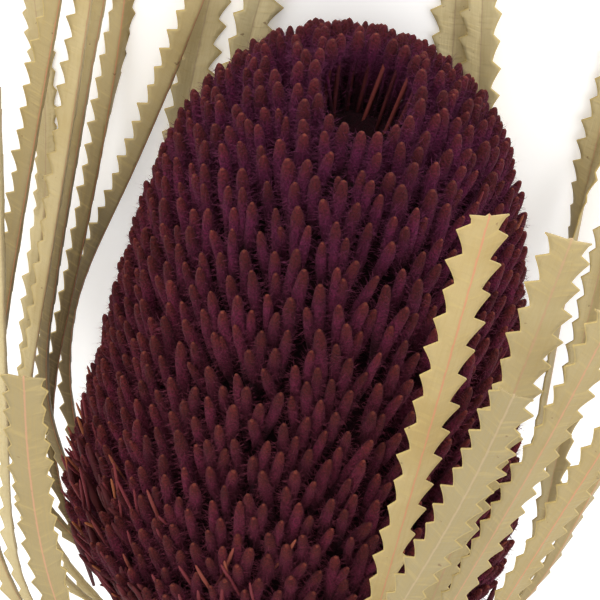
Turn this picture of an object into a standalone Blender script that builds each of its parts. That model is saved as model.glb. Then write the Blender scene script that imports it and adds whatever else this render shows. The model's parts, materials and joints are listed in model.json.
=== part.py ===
"""Cut banksia stem lying on a table: a woolly flower head, its leafy whorl and its cut stem.

Everything is modelled upright in the plant's own frame, with the stem along +Z and the foot
of the flower head at z = 0. An empty then tips the plant over, so that the head rests on its
flank, and centres the whole on the origin.
"""

import math
import random
from typing import NamedTuple

import bmesh
import bpy
from mathutils import Matrix, Vector

MM = 0.001

# Flower head: the surface that the floret tips make
HEAD_LENGTH = 118 * MM
HEAD_RADIUS = 46.3 * MM
FOOT_RADIUS = 40 * MM
WIDEST_AT = 0.15
TAPER = 0.31
DOME_POWER = 7.5
CORE_INSET = 5.2 * MM
CORE_STEPS = 24
# (share of the foot's radius, height in mm) of the core's rounded underside
CORE_FOOT = ((0.88, -3.5), (0.72, -6.5), (0.4, -8), (0, -8))
PROFILE_STEPS = 400

# The hollow in the crown, off the middle: to the right, to the front and lower
CROWN_HOLE_RADIUS = 8 * MM
CROWN_HOLE_DEPTH = 20 * MM
CROWN_SHIFT = Vector((4 * MM, -11 * MM, -3 * MM))
CROWN_SHIFT_FROM = 27 * MM
CROWN_CROWDING = 1.2

# Florets, about twice the real size and a fifth of the real number
FLORET_COUNT = 200
FLORET_LENGTH = 20 * MM
FLORET_RADIUS = 3.7 * MM
FLORET_SIDES = 5
# (share of the length down from the tip, share of the radius) at a bud's tip, rings and root
FLORET_SHAPE = {0: (0, 0), 1: (0.13, 0.68), 3: (0.48, 1), 4: (1, 0)}
FLORETS_FROM = 4 * MM
SPENT_ZONE = 13 * MM
SPENT_LENGTH = 25 * MM
SPENT_RADIUS = 2.0 * MM
GOLDEN_ANGLE = math.pi * (3 - math.sqrt(5))
# Outward lean of a floret from the stem's direction, by height in the head
LEAN_AT = ((0.0, 60), (0.12, 42), (0.3, 26), (0.6, 19), (0.85, 14), (1.0, 10))

# Stem
STEM_RADIUS = 4.6 * MM
STEM_TOP = -8.4 * MM
STEM_LENGTH = 74 * MM
STEM_BOW = 3.5 * MM

# Leaves
LEAF_THICKNESS = 0.8 * MM
TOOTH_PITCH = 8.0 * MM
TOOTH_FORWARD = 0.72
NOTCH_WIDTH = 0.6
# (share of the leaf's length, share of its half width)
WIDTH_AT = ((0, 0.25), (0.14, 0.27), (0.3, 0.46), (0.54, 0.70), (0.72, 0.88), (0.86, 1.0), (1, 0.95))
PETIOLE_HALF_WIDTH = 1.0 * MM
PETIOLE_SHARE = 0.14
# The blade is flat up to the first share of its length, and fully folded from the second
FOLD_FROM = 0.1
FOLD_TO = 0.35
ROOT_CLEARANCE = 0.5 * MM
PATH_STEPS = 160

# Rest on the table
TIP_OVER = math.radians(10)
PRESSED_FLAT = 1.5 * MM
TABLE_BLEND = 3 * MM
TABLE_SIZE = 500 * MM

FLORET_COLOUR = (0.075, 0.012, 0.022, 1)
LEAF_COLOUR = (0.52, 0.40, 0.19, 1)
STEM_COLOUR = (0.16, 0.09, 0.045, 1)


class Leaf(NamedTuple):
    """One leaf: angles in degrees, lengths in millimetres.

    azimuth is where it grows, from the front (0) round to the right (90) and the back (180).
    sweep is how far round the head its tip moves from there. start_lean and end_lean are its
    angles from the stem's direction at the root and past the bend, and layer lifts it off the
    table where another leaf lies under it. fold bends both halves of the blade at the rib:
    towards the head where it is above zero, away from it where it is below.
    """

    azimuth: float
    root: float
    length: float
    start_lean: float
    end_lean: float
    bend: float
    sweep: float
    twist: float
    half_width: float
    layer: float
    fold: float


LEAVES = (
    # In front, to the right
    Leaf(19, -31, 183, 84, 8, 75, 1, 0, 5.0, 0, 12),
    Leaf(28, -27, 176, 84, 10, 74, 3, -32, 4.8, 0, 12),
    Leaf(11, -36, 169, 83, 18, 69, 11, -30, 4.5, 0, 15),
    Leaf(23, -33, 182, 85, 16, 73, 8, -28, 3.7, 0, 12),
    Leaf(37, -44, 175, 72, 18, 81, 0, -28, 3.6, 0, 14),
    # On the right
    Leaf(94, -36, 150, 80, 12, 81, -3, -60, 4.3, 0, 30),
    Leaf(101, -42, 154, 85, 1, 87, 8, 75, 4.3, 0, 30),
    Leaf(112, -38, 179, 76, 1, 94, 10, -40, 4.4, 0, 30),
    # On the left
    Leaf(-26, -32, 126, 75, 7, 95, -22, 44, 4.5, 0, 10),
    Leaf(-48, -38, 167, 71, 12, 96, -24, -60, 3.9, 0, -38),
    Leaf(-69, -36, 171, 85, 6, 79, -20, -46, 3.8, 0, -42),
    Leaf(-89, -30, 179, 85, -3, 87, -9, -37, 3.8, 0, -42),
    Leaf(-103, -40, 184, 79, 10, 95, -26, -6, 3.9, 0, -42),
    Leaf(-103, -26, 183, 81, -5, 104, 10, -43, 3.9, 0, -42),
    # Behind, to the left
    Leaf(-114, -28, 178, 79, -5, 97, 7, -28, 3.8, 0, -42),
    Leaf(-107, -38, 179, 75, -2, 96, -16, -12, 3.8, 0, -42),
    Leaf(-121, -32, 183, 78, -17, 120, -10, -4, 4.4, 5, -40),
    # Behind, lying on the table
    Leaf(-147, -36, 180, 77, -8, 101, 7, 0, 4.8, 0, 13),
    Leaf(-160, -33, 184, 75, -12, 100, 13, 0, 4.8, 1, 13),
    Leaf(137, -29, 182, 76, -12, 96, 2, 0, 4.8, 0, 13),
    Leaf(150, -26, 182, 80, -13, 100, 2, 0, 5.0, 0, 13),
)


def smooth(share):
    """An S-shaped step from 0 to 1."""
    share = min(1.0, max(0.0, share))
    return share * share * (3 - 2 * share)


def table_value(pairs, share):
    """Straight-line reading of a short table of (share, value) pairs."""
    for (low, a), (high, b) in zip(pairs, pairs[1:]):
        if share <= high:
            return a + (b - a) * (share - low) / (high - low)
    return pairs[-1][1]


def head_radius(height):
    """Radius of the surface that the floret tips make, at a height in the head."""
    share = min(1.0, max(0.0, height / HEAD_LENGTH))
    if share < WIDEST_AT:
        swell = math.sin(math.pi / 2 * share / WIDEST_AT)
        return FOOT_RADIUS + (HEAD_RADIUS - FOOT_RADIUS) * swell
    up = (share - WIDEST_AT) / (1 - WIDEST_AT)
    return HEAD_RADIUS * (1 - TAPER * up) * math.sqrt(max(0.0, 1 - up**DOME_POWER))


def crown_shift(radius):
    """How far a ring of the crown, of a radius, is pushed towards the crown's hollow."""
    inwards = (CROWN_SHIFT_FROM - radius) / (CROWN_SHIFT_FROM - CROWN_HOLE_RADIUS)
    return CROWN_SHIFT * min(1.0, max(0.0, inwards))


def floret_places(count):
    """(height, azimuth) for each floret: equal areas, closer in the crown, by the golden angle."""
    heights = [HEAD_LENGTH * i / PROFILE_STEPS for i in range(PROFILE_STEPS + 1)]
    radii = [head_radius(height) for height in heights]
    areas = [0.0]
    for (z0, z1), (r0, r1) in zip(zip(heights, heights[1:]), zip(radii, radii[1:])):
        crowding = 1 + CROWN_CROWDING * smooth((z0 / HEAD_LENGTH - 0.8) / 0.15)
        areas.append(areas[-1] + (r0 + r1) * math.hypot(z1 - z0, r1 - r0) * crowding)
    foot = min(i for i, height in enumerate(heights) if height > FLORETS_FROM)
    rim = max(i for i, radius in enumerate(radii) if radius > CROWN_HOLE_RADIUS)
    places = []
    step = 0
    for index in range(count):
        wanted = areas[foot] + (areas[rim] - areas[foot]) * (index + 0.5) / count
        while areas[step + 1] < wanted:
            step += 1
        share = (wanted - areas[step]) / (areas[step + 1] - areas[step])
        height = heights[step] + share * (heights[step + 1] - heights[step])
        places.append((height, index * GOLDEN_ANGLE))
    return places


def outward(azimuth):
    """Unit vector away from the stem: azimuth 0 is the front, and 90 degrees the right."""
    return Vector((math.sin(azimuth), -math.cos(azimuth), 0))


def new_object(name, mesh, material, collection, parent=None):
    obj = bpy.data.objects.new(name, mesh)
    collection.objects.link(obj)
    obj.parent = parent
    if material and not mesh.materials:
        mesh.materials.append(material)
    return obj


def material_of(name, colour, roughness):
    material = bpy.data.materials.new(name)
    material.use_nodes = True
    shader = material.node_tree.nodes["Principled BSDF"]
    shader.inputs["Base Color"].default_value = colour
    shader.inputs["Roughness"].default_value = roughness
    return material


def core_profile():
    """(radius, height) of the core's rings, from the floor of its hollow down to the stem."""
    hole_floor = HEAD_LENGTH - CROWN_HOLE_DEPTH
    rings = [(0, hole_floor), (CROWN_HOLE_RADIUS * 0.6, hole_floor)]
    outer = []
    for i in range(CORE_STEPS + 1):
        height = HEAD_LENGTH * (1 - (1 - i / CORE_STEPS) ** 1.4)
        radius = head_radius(height) - CORE_INSET
        if radius > CROWN_HOLE_RADIUS:
            sunk = CORE_INSET * 0.6 * height / HEAD_LENGTH
            outer.append((radius, height - sunk))
    foot = [(FOOT_RADIUS * share, height * MM) for share, height in CORE_FOOT]
    return rings + outer[::-1] + foot


def core_mesh():
    """The core as a turned solid, with the rings of its crown pushed off the middle."""
    guide = bpy.data.meshes.new("core_profile")
    rings = core_profile()
    edges = [(i, i + 1) for i in range(len(rings) - 1)]
    guide.from_pydata([(radius, 0, height) for radius, height in rings], edges, [])
    turned = new_object("core", guide, None, bpy.context.scene.collection)
    screw = turned.modifiers.new("turn", "SCREW")
    screw.steps = 20
    screw.render_steps = 20
    screw.use_merge_vertices = True
    screw.merge_threshold = 0.01 * MM
    bpy.context.view_layer.update()
    graph = bpy.context.evaluated_depsgraph_get()
    mesh = bpy.data.meshes.new_from_object(turned.evaluated_get(graph))
    bpy.data.objects.remove(turned)
    form = bmesh.new()
    form.from_mesh(mesh)
    bmesh.ops.remove_doubles(form, verts=form.verts, dist=0.01 * MM)
    bmesh.ops.recalc_face_normals(form, faces=form.faces)
    for vertex in form.verts:
        if vertex.co.z > HEAD_LENGTH / 2:
            vertex.co += crown_shift(vertex.co.xy.length + CORE_INSET)
    form.to_mesh(mesh)
    form.free()
    return mesh


def floret_mesh(name, length, radius, sides):
    """A bud along +Z with a blunt tip at the origin, running to a point at its root."""
    form = bmesh.new()
    bmesh.ops.create_uvsphere(form, u_segments=sides, v_segments=3, radius=1)
    for vertex in form.verts:
        ring = round((1 - vertex.co.z) * 2)
        down, width = FLORET_SHAPE[ring]
        across = vertex.co.xy.normalized() * radius * width
        vertex.co = Vector((across.x, across.y, -down * length))
    mesh = bpy.data.meshes.new(name)
    form.to_mesh(mesh)
    form.free()
    return mesh


def florets(collection):
    """Every floret as an object of its own, tip on the head's surface, leaning outwards."""
    draw = random.Random(7)
    plump = floret_mesh("floret", FLORET_LENGTH, FLORET_RADIUS, FLORET_SIDES)
    spent = floret_mesh("spent_floret", SPENT_LENGTH, SPENT_RADIUS, 4)
    for height, azimuth in floret_places(FLORET_COUNT):
        is_spent = height < SPENT_ZONE
        for pair in (-1, 1) if is_spent else (0,):
            lean = math.radians(
                table_value(LEAN_AT, height / HEAD_LENGTH) + draw.uniform(-3, 3) + 7 * pair
            )
            turn = azimuth + draw.uniform(-0.02, 0.02) + 0.055 * pair
            tip = outward(turn) * head_radius(height) + Vector((0, 0, height))
            tip += crown_shift(head_radius(height)) if height > HEAD_LENGTH / 2 else Vector()
            axis = outward(turn) * math.sin(lean) + Vector((0, 0, math.cos(lean)))
            place = axis.to_track_quat("Z", "Y").to_matrix().to_4x4()
            place.translation = tip
            obj = new_object("floret", spent if is_spent else plump, None, collection)
            obj.matrix_world = place @ Matrix.Scale(draw.uniform(0.94, 1.06), 4)


def join_and_apply(obj, collection):
    """Unites obj with every object of a collection, applies it, and removes them."""
    union = obj.modifiers.new("union", "BOOLEAN")
    union.operation = "UNION"
    union.operand_type = "COLLECTION"
    union.collection = collection
    union.solver = "MANIFOLD"
    bpy.context.view_layer.update()
    graph = bpy.context.evaluated_depsgraph_get()
    joined = bpy.data.meshes.new_from_object(obj.evaluated_get(graph))
    obj.modifiers.clear()
    obj.data = joined
    for part in list(collection.objects):
        bpy.data.objects.remove(part)
    bpy.data.collections.remove(collection)


def flower_head(material, collection, table, parent):
    """The head: its core and florets in one solid, pressed flat where it rests."""
    repeats = bpy.data.collections.new("florets")
    bpy.context.scene.collection.children.link(repeats)
    florets(repeats)
    head = new_object("flower_head", core_mesh(), None, collection)
    join_and_apply(head, repeats)
    head.data.materials.clear()
    head.data.materials.append(material)
    head.parent = parent
    press = head.modifiers.new("press_flat", "BOOLEAN")
    press.operation = "DIFFERENCE"
    press.object = table
    press.solver = "EXACT"
    return head


def stem(material, collection, parent):
    """The cut woody stem, bowed a little and thicker at the cut."""
    curve = bpy.data.curves.new("stem", "CURVE")
    curve.dimensions = "3D"
    curve.bevel_depth = STEM_RADIUS
    curve.bevel_resolution = 3
    curve.use_fill_caps = True
    spline = curve.splines.new("POLY")
    steps = 9
    spline.points.add(steps - 1)
    for i, point in enumerate(spline.points):
        share = i / (steps - 1)
        bow = STEM_BOW * smooth(share)
        point.co = (-bow, 0.6 * bow, STEM_TOP - STEM_LENGTH * share, 1)
        point.radius = 0.9 + 0.14 * share
    return new_object("stem", curve, material, collection, parent)


def stem_centre(height):
    """The stem's centre line at a height below the head."""
    share = (STEM_TOP - height) / STEM_LENGTH
    bow = STEM_BOW * smooth(share)
    return Vector((-bow, 0.6 * bow, height))


def on_table(point, lying, level):
    """A point of the plant, moved up to the table's level where it would be under it."""
    world = lying @ point
    depth = world.z - level
    if depth < TABLE_BLEND:
        eased = max(0.0, depth + TABLE_BLEND)
        world.z = level + eased * eased / (4 * TABLE_BLEND)
    return lying.inverted() @ world


def leaf_line(leaf, lying):
    """The leaf's centre line: points, and the azimuth at each, evenly spaced along it."""
    length = leaf.length * MM
    step = length / PATH_STEPS
    rest_level = LEAF_THICKNESS * (0.5 + 1.8 * leaf.layer)
    start = stem_centre(leaf.root * MM)
    reach = STEM_RADIUS + ROOT_CLEARANCE
    height = start.z
    points = []
    azimuths = []
    for i in range(PATH_STEPS + 1):
        share = i / PATH_STEPS
        azimuth = math.radians(leaf.azimuth + leaf.sweep * smooth(share * 1.1))
        point = outward(azimuth) * reach + Vector((start.x, start.y, height))
        points.append(on_table(point, lying, rest_level))
        azimuths.append(azimuth)
        bent = smooth(i * step / (leaf.bend * MM))
        lean = math.radians(leaf.start_lean + (leaf.end_lean - leaf.start_lean) * bent)
        reach += step * math.sin(lean)
        height += step * math.cos(lean)
    return points, azimuths


def blade_frames(leaf, lying):
    """For each step of the centre line: its point, its width direction and its outer side."""
    points, azimuths = leaf_line(leaf, lying)
    up = lying.to_3x3().inverted() @ Vector((0, 0, 1))
    frames = []
    for i, point in enumerate(points):
        along = points[min(i + 1, PATH_STEPS)] - points[max(i - 1, 0)]
        along.normalize()
        side = outward(azimuths[i] + math.pi / 2)
        flatness = 1 - smooth((lying @ point).z / (8 * MM))
        side -= up * side.dot(up) * flatness
        side -= along * side.dot(along)
        side.normalize()
        turn = math.radians(leaf.twist) * smooth(i / PATH_STEPS / 0.45) * (1 - flatness)
        side = Matrix.Rotation(turn, 3, along) @ side
        frames.append((point, side, side.cross(along)))
    return frames


def blade_half_width(leaf, share):
    """Half the blade's width at its tooth tips, by share of the leaf's length."""
    return leaf.half_width * MM * table_value(WIDTH_AT, share)


def leaf_mesh(name, leaf, lying):
    """The toothed blade as an open surface, folded along its rib."""
    frames = blade_frames(leaf, lying)
    length = leaf.length * MM
    toothed_from = PETIOLE_SHARE * length
    teeth = round((length - toothed_from) / TOOTH_PITCH)
    pitch = (length - toothed_from) / teeth

    form = bmesh.new()

    def vertex(distance, across):
        share = min(1.0, distance / length)
        place = share * PATH_STEPS
        low = min(int(place), PATH_STEPS - 1)
        point, side, outer = frames[low]
        far_point = frames[low + 1][0]
        point = point.lerp(far_point, place - low)
        bent = smooth((share - FOLD_FROM) / (FOLD_TO - FOLD_FROM))
        fold = math.radians(leaf.fold) * bent
        sunk = abs(across) * math.sin(fold)
        world = lying @ (point + side * across * math.cos(fold) - outer * sunk)
        world.z = max(world.z, LEAF_THICKNESS * 0.5)
        return form.verts.new(lying.inverted() @ world)

    rib = [vertex(0, 0)]
    edges = {side: [vertex(0, side * PETIOLE_HALF_WIDTH)] for side in (-1, 1)}
    for i in range(teeth + 1):
        distance = toothed_from + i * pitch
        notch = max(
            PETIOLE_HALF_WIDTH, blade_half_width(leaf, distance / length) * NOTCH_WIDTH
        )
        rib.append(vertex(distance, 0))
        for side in (-1, 1):
            edges[side].append(vertex(distance, side * notch))
    for side in (-1, 1):
        for i in range(teeth + 1):
            corners = [rib[i], rib[i + 1], edges[side][i + 1], edges[side][i]]
            form.faces.new(corners[:: side])
            if i == 0:
                continue
            distance = toothed_from + (i - 1 + TOOTH_FORWARD) * pitch
            reach = blade_half_width(leaf, distance / length)
            point = vertex(distance, side * reach)
            form.faces.new([edges[side][i], edges[side][i + 1], point][:: side])
    bmesh.ops.triangulate(form, faces=form.faces)
    bmesh.ops.recalc_face_normals(form, faces=form.faces)
    mesh = bpy.data.meshes.new(name)
    form.to_mesh(mesh)
    form.free()
    return mesh


def leaf(name, spec, material, collection, parent, lying):
    """One leaf, given its thickness."""
    blade = new_object(name, leaf_mesh(name, spec, lying), material, collection, parent)
    thickness = blade.modifiers.new("thickness", "SOLIDIFY")
    thickness.thickness = LEAF_THICKNESS
    thickness.offset = 0
    return blade


def table_cutter():
    """The table, as a slab whose top is at z = 0, which presses the head flat."""
    collection = bpy.data.collections.new("cutters")
    bpy.context.scene.collection.children.link(collection)
    bpy.ops.mesh.primitive_cube_add(size=TABLE_SIZE, location=(0, 0, -TABLE_SIZE / 2))
    table = bpy.context.object
    table.name = "table"
    for owner in list(table.users_collection):
        owner.objects.unlink(table)
    collection.objects.link(table)
    table.hide_render = True
    table.display_type = "WIRE"
    return table


def lying_matrix():
    """Tips the plant over, apex forwards and a little down, at its height above the table."""
    heights = [HEAD_LENGTH * i / PROFILE_STEPS for i in range(PROFILE_STEPS + 1)]
    deepest = max(
        head_radius(height) * math.cos(TIP_OVER) + height * math.sin(TIP_OVER)
        for height in heights
    )
    tip = Matrix.Rotation(-math.pi / 2 - TIP_OVER, 4, "X")
    return Matrix.Translation((0, 0, deepest - PRESSED_FLAT)) @ tip


def centre_on_origin(objects, holder):
    """Moves the holder so that the object's box is centred over the origin."""
    bpy.context.view_layer.update()
    graph = bpy.context.evaluated_depsgraph_get()
    points = []
    for obj in objects:
        evaluated = obj.evaluated_get(graph)
        mesh = evaluated.to_mesh()
        points += [evaluated.matrix_world @ vertex.co for vertex in mesh.vertices]
        evaluated.to_mesh_clear()
    for axis in (0, 1):
        values = [point[axis] for point in points]
        holder.location[axis] -= (min(values) + max(values)) / 2


def main():
    for obj in list(bpy.data.objects):
        bpy.data.objects.remove(obj)
    collection = bpy.data.collections.new("banksia_cone")
    bpy.context.scene.collection.children.link(collection)
    floret_skin = material_of("floret", FLORET_COLOUR, 0.95)
    leaf_skin = material_of("leaf", LEAF_COLOUR, 0.7)
    bark = material_of("bark", STEM_COLOUR, 0.85)

    lying = lying_matrix()
    plant = bpy.data.objects.new("plant", None)
    collection.objects.link(plant)
    plant.matrix_world = lying

    parts = [
        flower_head(floret_skin, collection, table_cutter(), plant),
        stem(bark, collection, plant),
    ]
    for number, spec in enumerate(LEAVES, 1):
        name = f"leaf_{number:02d}"
        parts.append(leaf(name, spec, leaf_skin, collection, plant, lying))
    centre_on_origin(parts, plant)


main()
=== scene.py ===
# %% [markdown]
# # A cut banksia cone, lying on a pale table
#
# A banksia cone is one woody axis that carries about fifteen hundred small flowers, each a
# woolly finger, set in a spiral. Below it a whorl of long saw-toothed leaves arches up round
# it. This lesson builds it in the order in which it grew: stem, core, florets, wool, leaves.
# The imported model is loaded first, because it says how big every piece is and where it is.

import json
import math
import random
from typing import NamedTuple

import bpy
from mathutils import Matrix, Vector

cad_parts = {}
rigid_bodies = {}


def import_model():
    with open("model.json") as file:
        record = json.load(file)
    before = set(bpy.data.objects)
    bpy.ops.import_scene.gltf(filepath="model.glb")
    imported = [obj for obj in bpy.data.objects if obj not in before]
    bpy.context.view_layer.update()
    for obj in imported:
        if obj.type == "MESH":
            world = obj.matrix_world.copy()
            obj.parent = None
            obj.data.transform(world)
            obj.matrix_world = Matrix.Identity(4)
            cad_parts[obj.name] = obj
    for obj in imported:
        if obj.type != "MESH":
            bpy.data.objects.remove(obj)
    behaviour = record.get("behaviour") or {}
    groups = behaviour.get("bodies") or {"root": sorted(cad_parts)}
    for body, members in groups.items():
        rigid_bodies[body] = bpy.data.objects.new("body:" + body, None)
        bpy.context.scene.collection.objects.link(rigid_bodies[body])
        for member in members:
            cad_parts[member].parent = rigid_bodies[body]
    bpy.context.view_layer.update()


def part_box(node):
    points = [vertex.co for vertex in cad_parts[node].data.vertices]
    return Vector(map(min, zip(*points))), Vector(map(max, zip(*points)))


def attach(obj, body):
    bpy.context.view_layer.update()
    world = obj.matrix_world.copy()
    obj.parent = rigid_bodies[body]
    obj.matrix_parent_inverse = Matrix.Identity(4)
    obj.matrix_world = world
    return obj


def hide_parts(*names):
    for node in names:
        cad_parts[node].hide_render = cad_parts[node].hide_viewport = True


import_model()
MM = 0.001

# %% [markdown]
# ## Where the plant stands
#
# The plant is easiest to describe upright: stem along +Z, the foot of the head at z = 0,
# azimuth 0 at the front and 90 degrees at the right. One matrix then lays it on the table.
# Its turn is known, and its place is found by laying the stem's own formula over the box
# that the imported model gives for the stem. Nothing is measured by eye.

# %% Lay the plant down
TIP_OVER = math.radians(10)
STEM_RADIUS = 4.6 * MM
STEM_TOP = -8.4 * MM
STEM_LENGTH = 74 * MM
STEM_BOW = 3.5 * MM
BOW_BACK = 0.6
SHARE_AT_TOP = 0.9
SHARE_MORE_AT_CUT = 0.14


def smooth(share):
    """An S-shaped step from 0 to 1."""
    share = min(1.0, max(0.0, share))
    return share * share * (3 - 2 * share)


def stem_centre(height):
    """The stem's centre line at a height below the head."""
    bow = STEM_BOW * smooth((STEM_TOP - height) / STEM_LENGTH)
    return Vector((-bow, BOW_BACK * bow, height))


def stem_radius(height):
    """The stem is a little thicker at the cut."""
    return STEM_RADIUS * (SHARE_AT_TOP + SHARE_MORE_AT_CUT * (STEM_TOP - height) / STEM_LENGTH)


def place_of_plant():
    turn = Matrix.Rotation(-math.pi / 2 - TIP_OVER, 4, "X")
    axis = turn @ Vector((0, 0, 1))
    low, high = [], []
    for height in (STEM_TOP, STEM_TOP - STEM_LENGTH):
        centre = turn @ stem_centre(height)
        reach = [stem_radius(height) * math.sqrt(1 - axis[k] ** 2) for k in range(3)]
        low.append([centre[k] - reach[k] for k in range(3)])
        high.append([centre[k] + reach[k] for k in range(3)])
    middle = Vector([(min(x) + max(y)) / 2 for x, y in zip(zip(*low), zip(*high))])
    cad_low, cad_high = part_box("stem")
    return Matrix.Translation((cad_low + cad_high) / 2 - middle) @ turn


plant = place_of_plant()
print("Plant's origin in mm:", [round(x / MM, 2) for x in plant.translation])

# %% [markdown]
# ## The camera
#
# The photograph looks down at the lying cone from the side of its crown, with a long lens.
# Its tilt towards the crown was chosen, because the outline alone doesn't give it. Its lens,
# its roll and the point that it looks at were fitted to the head's edge in the photograph.

# %% Set up the camera
CAMERA_TILT = math.radians(32)
CAMERA_DISTANCE = 0.45
CAMERA_LENS = 140.4
CAMERA_SENSOR = 36
CAMERA_ROLL = math.radians(8.8)
AIM_HEIGHT = 61 * MM
AIM_ASIDE = 4.2 * MM


def photo_camera():
    data = bpy.data.cameras.new("photo_camera")
    data.lens = CAMERA_LENS
    data.sensor_width = CAMERA_SENSOR
    data.clip_start = 0.01
    camera = bpy.data.objects.new("photo_camera", data)
    bpy.context.scene.collection.objects.link(camera)
    turn = plant.to_3x3()
    back = turn @ Vector((0, -math.cos(CAMERA_TILT), math.sin(CAMERA_TILT)))
    up = turn @ Vector((0, math.sin(CAMERA_TILT), math.cos(CAMERA_TILT)))
    right = up.cross(back)
    look = Matrix((right, up, back)).transposed() @ Matrix.Rotation(CAMERA_ROLL, 3, "Z")
    aim = plant @ Vector((0, 0, AIM_HEIGHT)) - right * AIM_ASIDE
    camera.matrix_world = Matrix.Translation(aim + back * CAMERA_DISTANCE) @ look.to_4x4()
    bpy.context.scene.camera = camera
    return aim, right, up, back


aim, right, up, back = photo_camera()
print("The camera stands", round(math.degrees(math.asin(back.z))), "degrees above the table")

# %% [markdown]
# ## Light and floor
#
# Studio daylight: a white surround that lights from everywhere, one big soft panel from the
# upper left of the picture, and a weaker one opposite. The floor is a plain pale sheet with a
# faint glow of its own, painted light that lifts the shadows on it. The standard view keeps
# deep wine reds as they are, where the filmic one would grey them.

# %% Light it
WORLD_LIGHT = 1.28
KEY_POWER = 3.0
FILL_POWER = 1.2
FLOOR_GLOW = 0.18
SURROUND_COLOUR = (1.0, 0.985, 0.97, 1)
KEY_COLOUR = (1.0, 0.95, 0.88)
FILL_COLOUR = (0.95, 0.97, 1.0)
FLOOR_COLOUR = (0.985, 0.985, 0.98, 1)
FLOOR_HALF = 3.0
FLOOR_ROUGHNESS = 0.9
PANEL_SIZE = 0.6
# Towards the camera, up and right in the picture, from the point that it looks at
KEY_PLACE = (0.75, 0.34, -0.14)
FILL_PLACE = (0.65, -0.30, 0.60)


def soft_panel(name, offsets, power, colour):
    place = aim + back * offsets[0] + up * offsets[1] + right * offsets[2]
    data = bpy.data.lights.new(name, "AREA")
    data.shape = "DISK"
    data.size = PANEL_SIZE
    data.energy = power
    data.color = colour
    panel = bpy.data.objects.new(name, data)
    bpy.context.scene.collection.objects.link(panel)
    panel.rotation_mode = "QUATERNION"
    panel.location = place
    panel.rotation_quaternion = (place - aim).to_track_quat("Z", "Y")


def studio():
    world = bpy.data.worlds.new("white_surround")
    world.use_nodes = True
    surround = world.node_tree.nodes["Background"]
    surround.inputs["Color"].default_value = SURROUND_COLOUR
    surround.inputs["Strength"].default_value = WORLD_LIGHT
    bpy.context.scene.world = world
    soft_panel("key_light", KEY_PLACE, KEY_POWER, KEY_COLOUR)
    soft_panel("fill_light", FILL_PLACE, FILL_POWER, FILL_COLOUR)
    bpy.context.scene.view_settings.view_transform = "Standard"


def floor():
    mesh = bpy.data.meshes.new("floor")
    corners = [(x * FLOOR_HALF, y * FLOOR_HALF, 0) for x, y in ((-1, -1), (1, -1), (1, 1), (-1, 1))]
    mesh.from_pydata(corners, [], [(0, 1, 2, 3)])
    sheet = bpy.data.objects.new("floor", mesh)
    bpy.context.scene.collection.objects.link(sheet)
    paint = bpy.data.materials.new("pale_floor")
    paint.use_nodes = True
    shader = paint.node_tree.nodes["Principled BSDF"]
    shader.inputs["Base Color"].default_value = FLOOR_COLOUR
    shader.inputs["Roughness"].default_value = FLOOR_ROUGHNESS
    # The floor's faint glow is painted light: it lifts the shadows on the floor.
    shader.inputs["Emission Color"].default_value = (1, 1, 1, 1)
    shader.inputs["Emission Strength"].default_value = FLOOR_GLOW
    mesh.materials.append(paint)


studio()
floor()

# %% [markdown]
# ## A few words for building node trees
#
# Both the shapes that repeat and the materials are node trees. `add` makes one node, fills
# its inputs or joins them to other nodes, and sets it to the right of the last one. The rest
# are short names for the sums that come back again and again.

# %% Helpers for node trees
def add(tree, kind, inputs=None, **settings):
    made = tree.nodes.new(kind)
    made.location.x = 190 * len(tree.nodes)
    for name, value in settings.items():
        setattr(made, name, value)
    for key, value in (inputs or {}).items():
        if isinstance(value, bpy.types.NodeSocket):
            tree.links.new(value, made.inputs[key])
        else:
            made.inputs[key].default_value = value
    return made


def sum_of(tree, operation, a, b=0.0, clamp=False):
    """One sum of two numbers."""
    return add(tree, "ShaderNodeMath", {0: a, 1: b}, operation=operation, use_clamp=clamp).outputs[0]


def plus(tree, a, b, clamp=False):
    return sum_of(tree, "ADD", a, b, clamp)


def minus(tree, a, b, clamp=False):
    return sum_of(tree, "SUBTRACT", a, b, clamp)


def times(tree, a, b, clamp=False):
    return sum_of(tree, "MULTIPLY", a, b, clamp)


def over(tree, a, b, clamp=False):
    return sum_of(tree, "DIVIDE", a, b, clamp)


def vector_sum(tree, operation, a, b):
    """One sum of two vectors. With SCALE, b is a number."""
    second = "Scale" if operation == "SCALE" else 1
    node = add(tree, "ShaderNodeVectorMath", {0: a, second: b}, operation=operation)
    return node.outputs["Value" if operation in ("DOT_PRODUCT", "LENGTH") else "Vector"]


def step(tree, value, low, high, to_low=0.0, to_high=1.0):
    """A smooth step as value goes from low to high."""
    inputs = {0: value, 1: low, 2: high, 3: to_low, 4: to_high}
    return add(tree, "ShaderNodeMapRange", inputs, interpolation_type="SMOOTHSTEP").outputs[0]


def blend(tree, share, a, b):
    """A colour between a and b."""
    return add(tree, "ShaderNodeMix", {0: share, 6: a, 7: b}, data_type="RGBA").outputs[2]


def noise(tree, place, scale, detail):
    """Cloudy noise round 0.5."""
    inputs = {"Vector": place, "Scale": scale, "Detail": detail}
    return add(tree, "ShaderNodeTexNoise", inputs).outputs["Fac"]


def uneven(tree, cloud, least, most):
    """A number that follows a noise, from least to most."""
    return step(tree, cloud, 0.3, 0.7, least, most)


def part_of(tree, vector, index):
    """X, Y or Z of a vector, by its number."""
    return add(tree, "ShaderNodeSeparateXYZ", {0: vector}).outputs[index]


def new_tree(name, kind, inputs, outputs):
    """An empty tree with named sockets: returns the tree, its inputs and its outputs."""
    tree = bpy.data.node_groups.new(name, kind)
    for label, socket, value in inputs:
        made = tree.interface.new_socket(label, in_out="INPUT", socket_type="NodeSocket" + socket)
        if value is not None:
            made.default_value = value
    for label, socket in outputs:
        tree.interface.new_socket(label, in_out="OUTPUT", socket_type="NodeSocket" + socket)
    return tree, add(tree, "NodeGroupInput").outputs, add(tree, "NodeGroupOutput").inputs


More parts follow.
